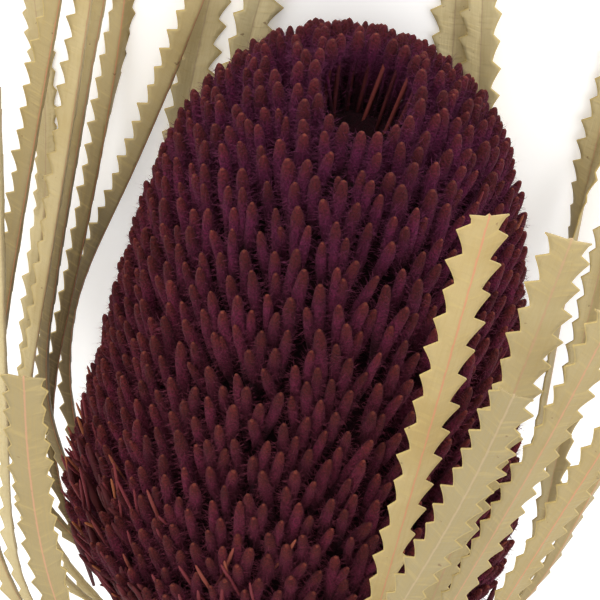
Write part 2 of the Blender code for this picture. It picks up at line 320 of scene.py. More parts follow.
def grow(name, base, tree, values, modifiers=()):
    """Runs a shape tree on a base mesh, and returns the result as a plain object."""
    obj = bpy.data.objects.new(name, base)
    bpy.context.scene.collection.objects.link(obj)
    growth = obj.modifiers.new("growth", "NODES")
    growth.node_group = tree
    for item in tree.interface.items_tree:
        if item.in_out == "INPUT" and item.name in values:
            growth[item.identifier] = values[item.name]
    for kind, settings in modifiers:
        extra = obj.modifiers.new(kind.lower(), kind)
        for key, value in settings.items():
            setattr(extra, key, value)
    graph = bpy.context.evaluated_depsgraph_get()
    plain = bpy.data.meshes.new_from_object(
        obj.evaluated_get(graph), preserve_all_data_layers=True, depsgraph=graph
    )
    obj.modifiers.clear()
    obj.data = plain
    plain.name = name
    return obj


def faces_of(obj):
    return sum(len(face.vertices) - 2 for face in obj.data.polygons)


def new_material(name):
    """A material, its tree and its shader."""
    material = bpy.data.materials.new(name)
    material.use_nodes = True
    tree = material.node_tree
    return material, tree, tree.nodes["Principled BSDF"]


def own_place(tree):
    """Where a point of the surface is, in metres."""
    return add(tree, "ShaderNodeTexCoord").outputs["Object"]


def attribute(tree, name):
    return add(tree, "ShaderNodeAttribute", attribute_name=name).outputs["Fac"]


print("Helpers ready")

# %% [markdown]
# ## Dye and fibre: two effects that several finishes share
#
# The cone was dyed: the dye took deep in the wool and thin on the tips. Florets, wool, core
# and stalks all carry it, so it is one group, which mixes a thick and a thin dye by cloudy
# noise at two sizes. Leaves and bark share a plant fibre: long grain, small brown specks.
# Each group hands out colours, masks and heights, and the shaders stay in the materials.

# %% Shared shader groups
CLOUD_SCALE = 55.0


def build_dye():
    inputs = [
        ("Thick", "Color", None),
        ("Thin", "Color", None),
        ("Patch Size", "Float", 120.0),
        ("Fuzz Size", "Float", 2600.0),
        ("Uneven", "Float", 0.5),
    ]
    outputs = [("Color", "Color"), ("Fuzz", "Float"), ("Rough", "Float")]
    tree, given, made = new_tree("cloudy_dye", "ShaderNodeTree", inputs, outputs)
    place = own_place(tree)
    cloud = noise(tree, place, given["Patch Size"], 3.0)
    fuzz = noise(tree, place, given["Fuzz Size"], 2.0)
    patches = step(tree, cloud, 0.35, 0.68)
    mottle = times(tree, step(tree, fuzz, 0.35, 0.7), 0.55)
    share = plus(tree, times(tree, patches, 0.6), mottle)
    share = times(tree, share, given["Uneven"], clamp=True)
    tree.links.new(blend(tree, share, given["Thick"], given["Thin"]), made["Color"])
    tree.links.new(fuzz, made["Fuzz"])
    tree.links.new(uneven(tree, fuzz, 0.78, 0.98), made["Rough"])
    return tree


def build_fibre():
    inputs = [
        ("Vector", "Vector", None),
        ("Grain", "Float", 900.0),
        ("Speck Size", "Float", 420.0),
        ("Speck Amount", "Float", 0.5),
    ]
    outputs = [("Grain", "Float"), ("Specks", "Float"), ("Clouds", "Float")]
    tree, given, made = new_tree("plant_fibre", "ShaderNodeTree", inputs, outputs)
    long_way = vector_sum(tree, "MULTIPLY", given["Vector"], (1.0, 0.06, 1.0))
    grain = noise(tree, long_way, given["Grain"], 4.0)
    place = own_place(tree)
    specks = noise(tree, place, given["Speck Size"], 2.0)
    clouds = noise(tree, place, CLOUD_SCALE, 3.0)
    edge = minus(tree, 0.82, times(tree, given["Speck Amount"], 0.2))
    spots = step(tree, minus(tree, specks, edge), -0.01, 0.04)
    tree.links.new(grain, made["Grain"])
    tree.links.new(spots, made["Specks"])
    tree.links.new(step(tree, clouds, 0.32, 0.7), made["Clouds"])
    return tree


cloudy_dye = build_dye()
plant_fibre = build_fibre()
print("Groups:", cloudy_dye.name, plant_fibre.name)

# %% [markdown]
# ## The finish of the florets
#
# A floret is brown-red and velvety at its blunt tip, violet on its woolly flanks and nearly
# black where it runs down to the core: a dark wine of its own, deepened there by painted shade.
# Its very tip gets a pale painted highlight. Each bud carries a number, `depth`, that says how
# far below its tip a point lies, and the colour follows it. A second number, `tone`, differs
# from bud to bud. Short wool is a sheen on the shader: it catches light at the rim of each bud.

# %% Floret, wool and core finishes
VIOLET_THICK = (0.050, 0.005, 0.011, 1)
VIOLET_THIN = (0.090, 0.009, 0.028, 1)
CROWN_VIOLET = (0.070, 0.008, 0.040, 1)
CROWN_TIP = (0.055, 0.007, 0.011, 1)
TIP_THICK = (0.042, 0.0050, 0.0065, 1)
TIP_THIN = (0.080, 0.0120, 0.0105, 1)
TIP_HIGHLIGHT = (0.105, 0.024, 0.016, 1)
DEEP_WINE_AND_SHADE = (0.018, 0.002, 0.005, 1)
SHEEN_TINT = (0.85, 0.30, 0.45, 1)
WOOL_THICK = (0.088, 0.010, 0.027, 1)
WOOL_THIN = (0.18, 0.036, 0.060, 1)
CROWN_WOOL = (0.115, 0.020, 0.068, 1)
PITH_SHADE_THICK = (0.006, 0.0013, 0.0022, 1)
PITH_SHADE_THIN = (0.018, 0.003, 0.006, 1)
STRAND_THICK = (0.042, 0.005, 0.008, 1)
STRAND_THIN = (0.092, 0.016, 0.017, 1)
STRAND_WINE = (0.14, 0.022, 0.028, 1)
STRAND_STRAW = (0.30, 0.095, 0.034, 1)
# Along +Y, which is the way to the crown
BLUER_FROM = 35 * MM
BLUER_TO = 95 * MM


def dyed(tree, thick, thin, patch, fuzz, uneven):
    """The shared dye group with its own values."""
    group = add(tree, "ShaderNodeGroup", node_tree=cloudy_dye)
    values = {
        "Thick": thick, "Thin": thin, "Patch Size": patch, "Fuzz Size": fuzz, "Uneven": uneven
    }
    for name, value in values.items():
        group.inputs[name].default_value = value
    return group.outputs


def dress(tree, shader, colour, rough, **values):
    """A colour and a roughness for the shader, and plain values for its other inputs."""
    tree.links.new(colour, shader.inputs["Base Color"])
    tree.links.new(rough, shader.inputs["Roughness"])
    for name, value in values.items():
        shader.inputs[name.replace("_", " ")].default_value = value


def bump(tree, shader, height, distance):
    inputs = {"Height": height, "Distance": distance, "Strength": 1.0}
    node = add(tree, "ShaderNodeBump", inputs)
    tree.links.new(node.outputs["Normal"], shader.inputs["Normal"])


def floret_skin():
    material, tree, shader = new_material("floret_skin")
    depth = attribute(tree, "depth")
    tone = attribute(tree, "tone")
    flank = dyed(tree, VIOLET_THICK, VIOLET_THIN, 160.0, 2400.0, 0.9)
    tip = dyed(tree, TIP_THICK, TIP_THIN, 220.0, 3200.0, 0.95)
    bluer = step(tree, part_of(tree, own_place(tree), 1), BLUER_FROM, BLUER_TO, 0.0, 0.75)
    violet = blend(tree, bluer, flank["Color"], CROWN_VIOLET)
    brown = blend(tree, bluer, tip["Color"], CROWN_TIP)
    down = plus(tree, depth, times(tree, tone, 0.06))
    down = plus(tree, down, times(tree, flank["Fuzz"], 0.08))
    colour = blend(tree, step(tree, down, 0.12, 0.32), brown, violet)
    # Painted shade: the colour deepens to near black down towards the core, over the bud's own dark wine.
    colour = blend(tree, step(tree, depth, 0.36, 0.66), colour, DEEP_WINE_AND_SHADE)
    # Painted highlight: a pale point on the very tip of each bud.
    colour = blend(tree, step(tree, depth, 0.018, 0.004), colour, TIP_HIGHLIGHT)
    lift = plus(tree, 0.8, times(tree, tone, 0.45))
    lift = times(tree, lift, step(tree, flank["Fuzz"], 0.34, 0.66, 0.72, 1.3))
    colour = vector_sum(tree, "SCALE", colour, lift)
    sheen = {"Sheen_Weight": 0.06, "Sheen_Roughness": 0.4, "Sheen_Tint": SHEEN_TINT}
    dress(tree, shader, colour, flank["Rough"], Specular_IOR_Level=0.15, **sheen)
    bump(tree, shader, flank["Fuzz"], 0.5 * MM)
    return material


def wool_finish():
    material, tree, shader = new_material("wool")
    fleece = dyed(tree, WOOL_THICK, WOOL_THIN, 140.0, 2000.0, 0.9)
    bluer = step(tree, part_of(tree, own_place(tree), 1), BLUER_FROM, BLUER_TO, 0.0, 0.85)
    colour = blend(tree, bluer, fleece["Color"], CROWN_WOOL)
    dress(tree, shader, colour, fleece["Rough"], Specular_IOR_Level=0.2)
    return material


def core_finish():
    material, tree, shader = new_material("core_pith")
    # Painted shade: the core's dark maroon is deepened to near black, so the hollow and the gaps read as
    # shaded.
    pith = dyed(tree, PITH_SHADE_THICK, PITH_SHADE_THIN, 300.0, 1800.0, 0.8)
    dress(tree, shader, pith["Color"], pith["Rough"], Specular_IOR_Level=0.1)
    bump(tree, shader, pith["Fuzz"], 0.8 * MM)
    return material


def strand_finish():
    material, tree, shader = new_material("dry_strand")
    tone = attribute(tree, "tone")
    dry = dyed(tree, STRAND_THICK, STRAND_THIN, 260.0, 3000.0, 0.9)
    wine = blend(tree, step(tree, tone, 0.45, 0.75), dry["Color"], STRAND_WINE)
    straw = blend(tree, step(tree, tone, 0.84, 1.0), wine, STRAND_STRAW)
    dress(tree, shader, straw, uneven(tree, dry["Fuzz"], 0.65, 0.9), Specular_IOR_Level=0.2)
    bump(tree, shader, dry["Fuzz"], 0.12 * MM)
    return material


FLORET_SKIN = floret_skin()
WOOL = wool_finish()
CORE_PITH = core_finish()
DRY_STRAND = strand_finish()
print("Finishes:", [m.name for m in (FLORET_SKIN, WOOL, CORE_PITH, DRY_STRAND)])

# %% [markdown]
# ## The form of the head
#
# The head's outline is a rule, not a drawing: it swells from the foot to its widest ring,
# tapers a little and closes in a blunt dome. The florets follow the sunflower rule: each one
# is turned by the golden angle from the last, and each has the same share of the surface.
# An oval of them is missing in the crown, a little off the middle, and leaves a hollow.

# %% The head's rules
HEAD_LENGTH = 118 * MM
HEAD_RADIUS = 46.3 * MM
FOOT_RADIUS = 40 * MM
WIDEST_AT = 0.15
TAPER = 0.31
DOME_POWER = 7.5
PROFILE_STEPS = 400
HEIGHTS = [HEAD_LENGTH * i / PROFILE_STEPS for i in range(PROFILE_STEPS + 1)]
HOLLOW_AT = Vector((2.0 * MM, -8.9 * MM, 0))
HOLLOW_HALF_WIDTH = 9.6 * MM
HOLLOW_HALF_LENGTH = 12.2 * MM
HOLLOW_DEPTH = 27 * MM
RIM = 2.4 * MM
WALL = 5.6 * MM
GOLDEN_ANGLE = math.pi * (3 - math.sqrt(5))
LEAN_AT = ((0.0, 66), (0.05, 48), (0.12, 33), (0.3, 25), (0.6, 22), (0.85, 17), (1.0, 9))
CROWDED_FROM = 0.8
CROWDED_OVER = 0.15
FULL_SIZE_FROM = 12 * MM
SIZE_AT_FOOT = 0.68


def table_value(pairs, share):
    """Straight-line reading of a short table of (share, value) pairs."""
    for (low, a), (high, b) in zip(pairs, pairs[1:]):
        if share <= high:
            return a + (b - a) * (share - low) / (high - low)
    return pairs[-1][1]


def head_radius(height):
    """Radius of the surface that the floret tips make, at a height in the head."""
    share = min(1.0, max(0.0, height / HEAD_LENGTH))
    if share < WIDEST_AT:
        swell = math.sin(math.pi / 2 * share / WIDEST_AT)
        return FOOT_RADIUS + (HEAD_RADIUS - FOOT_RADIUS) * swell
    up = (share - WIDEST_AT) / (1 - WIDEST_AT)
    return HEAD_RADIUS * (1 - TAPER * up) * math.sqrt(max(0.0, 1 - up**DOME_POWER))


def in_hollow(point, beyond=RIM):
    """Whether a point of the crown lies inside the hollow's oval, or less than beyond from it."""
    aside = (point.x - HOLLOW_AT.x) / (HOLLOW_HALF_WIDTH + beyond)
    ahead = (point.y - HOLLOW_AT.y) / (HOLLOW_HALF_LENGTH + beyond)
    return point.z > HEAD_LENGTH / 2 and math.hypot(aside, ahead) < 1


def on_rim(way, out):
    """A point of the crown's surface on the hollow's oval, some way out from it."""
    point = HOLLOW_AT + Vector((way.x * (HOLLOW_HALF_WIDTH + out), way.y * (HOLLOW_HALF_LENGTH + out), 0))
    point.z = max(height for height in HEIGHTS if head_radius(height) >= point.length)
    return point


def outward(azimuth):
    """Unit vector away from the stem: azimuth 0 is the front, and 90 degrees the right."""
    return Vector((math.sin(azimuth), -math.cos(azimuth), 0))


def way_round(azimuth, start):
    """How far azimuth lies from start, by the shorter way round."""
    return (azimuth - start + math.pi) % (2 * math.pi) - math.pi


def spiral_places(count, lowest, crowding):
    """(height, azimuth) for each floret: equal areas, closer in the crown."""
    radii = [head_radius(height) for height in HEIGHTS]
    areas = [0.0]
    for (z0, z1), (r0, r1) in zip(zip(HEIGHTS, HEIGHTS[1:]), zip(radii, radii[1:])):
        packed = 1 + crowding * smooth((z0 / HEAD_LENGTH - CROWDED_FROM) / CROWDED_OVER)
        areas.append(areas[-1] + (r0 + r1) * math.hypot(z1 - z0, r1 - r0) * packed)
    foot = min(i for i, height in enumerate(HEIGHTS) if height > lowest)
    rim = max(i for i, radius in enumerate(radii) if radius > 0)
    places = []
    at = 0
    for index in range(count):
        wanted = areas[foot] + (areas[rim] - areas[foot]) * (index + 0.5) / count
        while areas[at + 1] < wanted:
            at += 1
        share = (wanted - areas[at]) / (areas[at + 1] - areas[at])
        height = HEIGHTS[at] + share * (HEIGHTS[at + 1] - HEIGHTS[at])
        places.append((height, index * GOLDEN_ANGLE))
    return places


def size_at(height):
    """Flowers at the very foot are shorter, so that none comes out under the head."""
    return SIZE_AT_FOOT + (1 - SIZE_AT_FOOT) * smooth(height / FULL_SIZE_FROM)


def lean_at(share, stray):
    """A flower's lean from the stem's direction, at a share of the head's length."""
    return math.radians(table_value(LEAN_AT, share) + stray)


def tip_and_axis(height, azimuth, lean, sunk):
    """Where a floret's tip is on the upright plant, and which way it points."""
    tip = outward(azimuth) * (head_radius(height) - sunk) + Vector((0, 0, height))
    axis = outward(azimuth) * math.sin(lean) + Vector((0, 0, math.cos(lean)))
    return tip, axis


def lying(tip, axis, *rest):
    """A point for the setting-out tree, laid on the table with the plant."""
    return (plant @ tip, (plant.to_3x3() @ axis).normalized(), *rest)


print("Head:", round(HEAD_LENGTH / MM), "mm long,", round(2 * HEAD_RADIUS / MM, 1), "mm wide")

# %% [markdown]
# ## The tree that sets things out
#
# Florets, spent flowers, dry styles and stalks are all the same job: a few small shapes put
# at many points. The script makes only the points, each with its direction, size, tone and the
# number of the shape to use. The tree turns each shape to its point's direction, spins it
# by chance, makes real mesh of it, and presses flat whatever would go through the table.

# %% Build the setting-out tree
def named(tree, name, data_type="FLOAT"):
    """A value that the points carry."""
    node = add(tree, "GeometryNodeInputNamedAttribute", {"Name": name}, data_type=data_type)
    return node.outputs["Attribute"]


def turned_to(tree, way):
    """The turn that points a shape's +Z along a direction."""
    return add(tree, "FunctionNodeAlignRotationToVector", {"Vector": way}, axis="Z").outputs[0]


def chance_of(tree, low, high, seed, **more):
    """A random number between low and high, for each point."""
    inputs = {2: low, 3: high, "Seed": seed} | more
    return add(tree, "FunctionNodeRandomValue", inputs).outputs[1]


def above_table(tree, geometry, gap):
    """Moves up whatever lies under the table's surface."""
    place = add(tree, "GeometryNodeInputPosition").outputs[0]
    parts = add(tree, "ShaderNodeSeparateXYZ", {0: place}).outputs
    height = sum_of(tree, "MAXIMUM", parts[2], gap)
    raised = add(tree, "ShaderNodeCombineXYZ", {0: parts[0], 1: parts[1], 2: height}).outputs[0]
    inputs = {"Geometry": geometry, "Position": raised}
    return add(tree, "GeometryNodeSetPosition", inputs).outputs[0]


def finished(tree, geometry, material, out):
    """Smooth shading, the material, and the way out."""
    soft = add(tree, "GeometryNodeSetShadeSmooth", {"Geometry": geometry}).outputs[0]
    dressed = add(tree, "GeometryNodeSetMaterial", {"Geometry": soft, "Material": material})
    tree.links.new(dressed.outputs[0], out)


def build_setting_out():
    inputs = [
        ("Points", "Geometry", None),
        ("Shapes", "Collection", None),
        ("Least Size", "Float", 0.9),
        ("Most Size", "Float", 1.1),
        ("Spin", "Float", math.pi),
        ("Table Gap", "Float", 0.0001),
        ("Seed", "Int", 1),
        ("Material", "Material", None),
    ]
    tree, given, made = new_tree("set_out_shapes", "GeometryNodeTree", inputs, [("Mesh", "Geometry")])
    inputs = {"Collection": given["Shapes"], "Separate Children": True, "Reset Children": True}
    shapes = add(tree, "GeometryNodeCollectionInfo", inputs)
    facing = turned_to(tree, named(tree, "axis", "FLOAT_VECTOR"))
    back_spin = times(tree, given["Spin"], -1.0)
    spin = chance_of(tree, back_spin, given["Spin"], given["Seed"])
    inputs = {"Axis": (0, 0, 1), "Angle": spin}
    turn = add(tree, "FunctionNodeAxisAngleToRotation", inputs).outputs[0]
    turns = {"Rotation": facing, "Rotate By": turn}
    facing = add(tree, "FunctionNodeRotateRotation", turns, rotation_space="LOCAL").outputs[0]
    other_seed = plus(tree, given["Seed"], 7.0)
    chance = chance_of(tree, given["Least Size"], given["Most Size"], other_seed)
    size = times(tree, named(tree, "size"), chance)
    inputs = {
        "Points": given["Points"],
        "Instance": shapes.outputs[0],
        "Pick Instance": True,
        "Instance Index": named(tree, "which", "INT"),
        "Rotation": facing,
        "Scale": size,
    }
    placed = add(tree, "GeometryNodeInstanceOnPoints", inputs).outputs[0]
    real = add(tree, "GeometryNodeRealizeInstances", {"Geometry": placed}).outputs[0]
    finished(tree, above_table(tree, real, given["Table Gap"]), given["Material"], made["Mesh"])
    return tree


set_out_shapes = build_setting_out()


def points_mesh(name, rows):
    """Points for the tree: each row is (place, axis, size, tone, which shape)."""
    mesh = bpy.data.meshes.new(name)
    mesh.from_pydata([row[0] for row in rows], [], [])
    axis = mesh.attributes.new("axis", "FLOAT_VECTOR", "POINT")
    axis.data.foreach_set("vector", [x for row in rows for x in row[1]])
    for column, (label, kind) in enumerate((("size", "FLOAT"), ("tone", "FLOAT"), ("which", "INT"))):
        values = mesh.attributes.new(label, kind, "POINT")
        values.data.foreach_set("value", [row[2 + column] for row in rows])
    return mesh


def ring_faces(first, rings, sides):
    """Faces between rings of corners, which start at the corner numbered first."""
    faces = []
    for low in range(first, first + (rings - 1) * sides, sides):
        high = low + sides
        for k in range(sides):
            after = (k + 1) % sides
            faces.append((low + k, high + k, high + after, low + after))
    return faces


def closed_tube(name, corners, sides, material):
    """An object from rings of corners, with a flat face at both ends."""
    faces = ring_faces(0, len(corners) // sides, sides)
    faces.append(tuple(range(sides)))
    faces.append(tuple(range(len(corners) - sides, len(corners)))[::-1])
    mesh = bpy.data.meshes.new(name)
    mesh.from_pydata(corners, [], faces)
    mesh.materials.append(material)
    mesh.shade_smooth()
    tube = bpy.data.objects.new(name, mesh)
    bpy.context.scene.collection.objects.link(tube)
    return tube


def turned_shape(name, profile, sides, bend, collection, uneven=0.0):
    """A bud along -Z from its tip at the origin, through (depth, radius) rings, to a flat root."""
    draw = random.Random(name)
    length = profile[-1][0]
    corners = [(0, 0, 0)]
    for depth, radius in profile[1:]:
        lean = bend * (depth / length) ** 2
        for k in range(sides):
            angle = 2 * math.pi * k / sides
            reach = radius * (1 + draw.uniform(-uneven, uneven))
            corners.append((reach * math.cos(angle) + lean, reach * math.sin(angle), -depth))
    rings = len(profile) - 1
    faces = [(0, 1 + k, 1 + (k + 1) % sides) for k in range(sides)]
    faces += ring_faces(1, rings, sides)
    faces.append(tuple(1 + (rings - 1) * sides + k for k in range(sides))[::-1])
    mesh = bpy.data.meshes.new(name)
    mesh.from_pydata([Vector(corner) * MM for corner in corners], [], faces)
    depth = mesh.attributes.new("depth", "FLOAT", "POINT")
    depth.data.foreach_set("value", [-corner[2] / length for corner in corners])
    collection.objects.link(bpy.data.objects.new(name, mesh))


def set_out(name, rows, shapes, material, seed, node="flower_head", slot="floret", **values):
    """Points and shapes through the tree, as a piece of the object."""
    values |= {"Shapes": shapes, "Seed": seed, "Material": material}
    piece = grow(name, points_mesh(name + "_points", rows), set_out_shapes, values)
    for shape in list(shapes.objects):
        bpy.data.objects.remove(shape)
    bpy.data.collections.remove(shapes)
    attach(piece, "root")
    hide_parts(node)
    print(f"{name}: {len(rows)} set out, {faces_of(piece)} triangles")
    return piece


# %% [markdown]
# ## The core
#
# Under the florets is a solid woody core, a turned form like the head's own outline but
# smaller, with the hollow of the crown sunk in its end. Little of it shows between the
# florets, and what shows is dark, so a plain spun mesh with a rough finish does: dark maroon,
# deepened to near black by painted shade for the hollow and the gaps.

# %% Turn the core
CORE_INSET = 9.5 * MM
CORE_SUNK = 14 * MM
CORE_MOUTH = 8 * MM
CORE_OVAL_FROM = 22 * MM
CORE_SIDES = 48
CORE_RINGS = 40
CORE_CROWDING = 1.4
CORE_ROUGH = 0.35
# (share of the mouth's or the foot's radius, height in mm)
HOLE_FLOOR = ((0.25, 0), (0.85, 1))
CORE_FOOT = ((0.88, -3.5), (0.72, -6.5), (0.4, -8), (0.13, -8.6))


def core_rings():
    """(radius, height) from the floor of the hollow over the crown and down to the stem."""
    hole_floor = HEAD_LENGTH - HOLLOW_DEPTH
    rings = [(CORE_MOUTH * share, hole_floor + height * MM) for share, height in HOLE_FLOOR]
    outer = []
    for i in range(CORE_RINGS + 1):
        height = HEAD_LENGTH * (1 - (1 - i / CORE_RINGS) ** CORE_CROWDING)
        radius = head_radius(height) - CORE_INSET
        if radius > CORE_MOUTH:
            outer.append((radius, height - CORE_SUNK * (height / HEAD_LENGTH) ** 2))
    foot = [(FOOT_RADIUS * share - 2 * MM * share, height * MM) for share, height in CORE_FOOT]
    return rings + outer[::-1] + foot


def core():
    draw = random.Random(3)
    corners = []
    for radius, height in core_rings():
        for k in range(CORE_SIDES):
            azimuth = 2 * math.pi * k / CORE_SIDES
            rough = radius + draw.uniform(-CORE_ROUGH, CORE_ROUGH) * MM
            corner = outward(azimuth) * rough + Vector((0, 0, height))
            if height > HEAD_LENGTH / 2:
                oval = smooth((CORE_OVAL_FROM - radius) / (CORE_OVAL_FROM - CORE_MOUTH))
                corner.x *= 1 + oval * (HOLLOW_HALF_WIDTH / CORE_MOUTH - 1)
                corner.y *= 1 + oval * (HOLLOW_HALF_LENGTH / CORE_MOUTH - 1)
                corner += HOLLOW_AT * oval
            corners.append(plant @ corner)
    piece = closed_tube("cone_core", corners, CORE_SIDES, CORE_PITH)
    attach(piece, "root")
    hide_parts("flower_head")
    print("cone_core:", faces_of(piece), "triangles")


core()

# %% [markdown]
# ## The florets
#
# A bud is a spindle: blunt tip, widest about two fifths of the way down, thin at its root.
# Four spindles that differ in bend and girth are enough, because each is also spun and sized
# by chance. Two fuller ones serve the crown, and a short one with a bare stalk stands on the
# hollow's back wall, so that the hollow stays open below it. Six sides read as round here,
# and keep fifteen hundred of them light.

# %% Set out the florets
FLORET_COUNT = 1500
SPENT_ZONE = 10 * MM
SPENT_RISE = 24 * MM
SPENT_SIDE = math.radians(-68)
SPENT_SPREAD = math.radians(50)
CROWN_CROWDING = 0.3
CROWN_FROM = 0.86
FULL_BUD_CHANCE = 0.8
OPENED_CHANCE = 0.35
# How far a floret strays from its place in the spiral: degrees, metres, and a share sideways
LEAN_STRAY = 4.5
ROUND_STRAY = 0.6 * MM
HEIGHT_STRAY = 0.5 * MM
SUNK_STRAY = 0.8 * MM
SIDE_STRAY = 0.08
FLORET_SIZES = (0.92, 1.08)
BUD_SIDES = 6
BUD_UNEVEN = 0.10
RIM_FLORETS = 20
RIM_SEED = 61
RIM_STRAY = 0.2
RIM_TILT = 0.15
RIM_OUT = 0.7
PLAIN_BUDS = 4
CROWN_BUDS = 2
SHORT_BUD_NUMBER = PLAIN_BUDS + CROWN_BUDS
# (depth, radius) rings in mm
BUD = ((0, 0), (0.25, 0.38), (0.9, 0.70), (2.4, 0.98), (5, 1.18), (9, 1.2), (13, 0.9), (21, 0.45))
CROWN_TOP = ((0, 0), (0.35, 0.56), (1.1, 0.94))
CROWN_BUD = CROWN_TOP + ((2.8, 1.24), (5.4, 1.42), (9, 1.34), (13, 0.9), (21, 0.4))
SHORT_BUD = CROWN_TOP + ((2.6, 1.26), (4.6, 1.2), (6.4, 0.5), (9, 0.3), (21, 0.3))


def bud_shapes():
    shapes = bpy.data.collections.new("buds")
    for number in range(PLAIN_BUDS + CROWN_BUDS):
        outline = BUD if number < PLAIN_BUDS else CROWN_BUD
        kind = number % PLAIN_BUDS
        girth = 0.92 + 0.05 * kind
        profile = [(depth, radius * girth) for depth, radius in outline]
        turned_shape(f"bud_{number}", profile, BUD_SIDES, 0.5 + 0.5 * kind, shapes, BUD_UNEVEN)
    turned_shape(f"bud_{SHORT_BUD_NUMBER}", SHORT_BUD, BUD_SIDES, 0.4, shapes, BUD_UNEVEN)
    return shapes


def rim_flowers():
    """(way from the hollow, tip, axis) of each flower on the hollow's rim."""
    draw = random.Random(RIM_SEED)
    rows = []
    for index in range(RIM_FLORETS):
        way = outward(2 * math.pi * (index + draw.uniform(-RIM_STRAY, RIM_STRAY)) / RIM_FLORETS)
        axis = way * draw.uniform(-0.02, 0.1) + Vector((0, 0, 1)) + HOLLOW_AT.normalized() * RIM_TILT
        rows.append((way, on_rim(way, draw.uniform(0, RIM_OUT) * MM), axis.normalized()))
    return rows


def spent_up_to(azimuth):
    """How high the opened flowers reach: highest on the left."""
    away = abs(way_round(azimuth, SPENT_SIDE))
    return SPENT_ZONE + SPENT_RISE * smooth(1 - away / SPENT_SPREAD)


def florets():
    draw = random.Random(7)
    rows = []
    for height, azimuth in spiral_places(FLORET_COUNT, SPENT_ZONE, CROWN_CROWDING):
        share = height / HEAD_LENGTH
        lean = lean_at(share, draw.gauss(0, LEAN_STRAY))
        azimuth += draw.gauss(0, ROUND_STRAY) / max(head_radius(height), 10 * MM)
        height = min(HEAD_LENGTH, height + draw.gauss(0, HEIGHT_STRAY))
        tip, axis = tip_and_axis(height, azimuth, lean, abs(draw.gauss(0, SUNK_STRAY)))
        axis += outward(azimuth + math.pi / 2) * draw.gauss(0, SIDE_STRAY)
        in_crown = share > CROWN_FROM and draw.random() < FULL_BUD_CHANCE
        which = draw.randrange(CROWN_BUDS) + PLAIN_BUDS if in_crown else draw.randrange(PLAIN_BUDS)
        if in_hollow(tip, WALL) and tip.y > HOLLOW_AT.y:
            which = SHORT_BUD_NUMBER
        tone = draw.random()
        has_opened = height < spent_up_to(azimuth) and draw.random() < OPENED_CHANCE
        if not in_hollow(tip) and not has_opened:
            size = size_at(height) * draw.uniform(*FLORET_SIZES)
            rows.append(lying(tip, axis, size, tone, which))
    for index, (way, tip, axis) in enumerate(rim_flowers()):
        which = SHORT_BUD_NUMBER if way.y > 0 else PLAIN_BUDS + index % CROWN_BUDS
        rows.append(lying(tip, axis, 1.0, draw.random(), which))
    return set_out("florets", rows, bud_shapes(), FLORET_SKIN, 11)


fresh = florets()

# %% [markdown]
# ## Spent flowers, strands and the crown's stalks
#
# The lowest flowers have opened and dried: thin, dark, pointed, and splayed outwards. Among
# them, and here and there higher up, stand dry straw-coloured styles. Bare stalks hang below
# the short buds on the hollow's back rim. All of them are thin shapes for the same tree.

# %% Set out the thin pieces
SPENT = ((0, 0), (0.7, 0.34), (3, 0.66), (7, 0.9), (13, 0.6), (26, 0.35))
STRAND = ((0, 0), (0.6, 0.22), (2.4, 0.36), (5, 0.42), (12, 0.34), (26, 0.30))
STALK = ((0, 0), (0.6, 0.34), (4, 0.46), (12, 0.40), (20, 0.36))
THIN_SIDES = 5
SPENT_COUNT = 620
SPENT_FROM = -1.5 * MM
SPENT_BEYOND = 2 * MM
SPENT_DEPTHS = (-1.2, 3.5)
SPENT_LEAN_STRAY = 8
SPENT_SIDE_STRAY = 0.14
SPENT_SIZES = (0.85, 1.05)
SPENT_TONE = 0.8
LOW_STYLES = 120
ALL_STYLES = 138
LEFT_STYLES = 84
LEFT_STRAY = 0.7
STYLE_LEAN_STRAY = 7
STYLE_SIDE_STRAY = 0.16
STYLE_SIZES = (0.8, 1.0)
SHORT_STYLES_BELOW = 6 * MM
# Heights and depths in mm and tones of the styles, each from least to most
LOW_STYLE = ((4, 38), (-1.2, 0.6), (0.7, 1.0))
HIGH_STYLE = ((38, 108), (0.2, 1.4), (0.6, 1.0))
STALK_SUNK = 3.4 * MM
STALKS_BEHIND = -0.2
PALE_STALKS = (7, 9)
PALE_TONE = 0.88
DARK_TONES = (0.1, 0.55)


def thin_shapes(name, profile, bends):
    shapes = bpy.data.collections.new(name)
    for number, bend in enumerate(bends):
        turned_shape(f"{name}_{number}", profile, THIN_SIDES, bend, shapes)
    return shapes


def spent_flowers():
    draw = random.Random(19)
    rows = []
    for index in range(SPENT_COUNT):
        azimuth = index * GOLDEN_ANGLE
        height = draw.uniform(SPENT_FROM, spent_up_to(azimuth) + SPENT_BEYOND)
        lean = lean_at(max(0, height) / HEAD_LENGTH, draw.gauss(0, SPENT_LEAN_STRAY))
        tip, axis = tip_and_axis(height, azimuth, lean, draw.uniform(*SPENT_DEPTHS) * MM)
        axis += outward(azimuth + math.pi / 2) * draw.gauss(0, SPENT_SIDE_STRAY)
        tone = SPENT_TONE * draw.random() ** 1.6
        size = size_at(height) * draw.uniform(*SPENT_SIZES)
        rows.append(lying(tip, axis, size, tone, draw.randrange(2)))
    set_out("spent_flowers", rows, thin_shapes("spent", SPENT, (1.0, 3.0)), DRY_STRAND, 23)


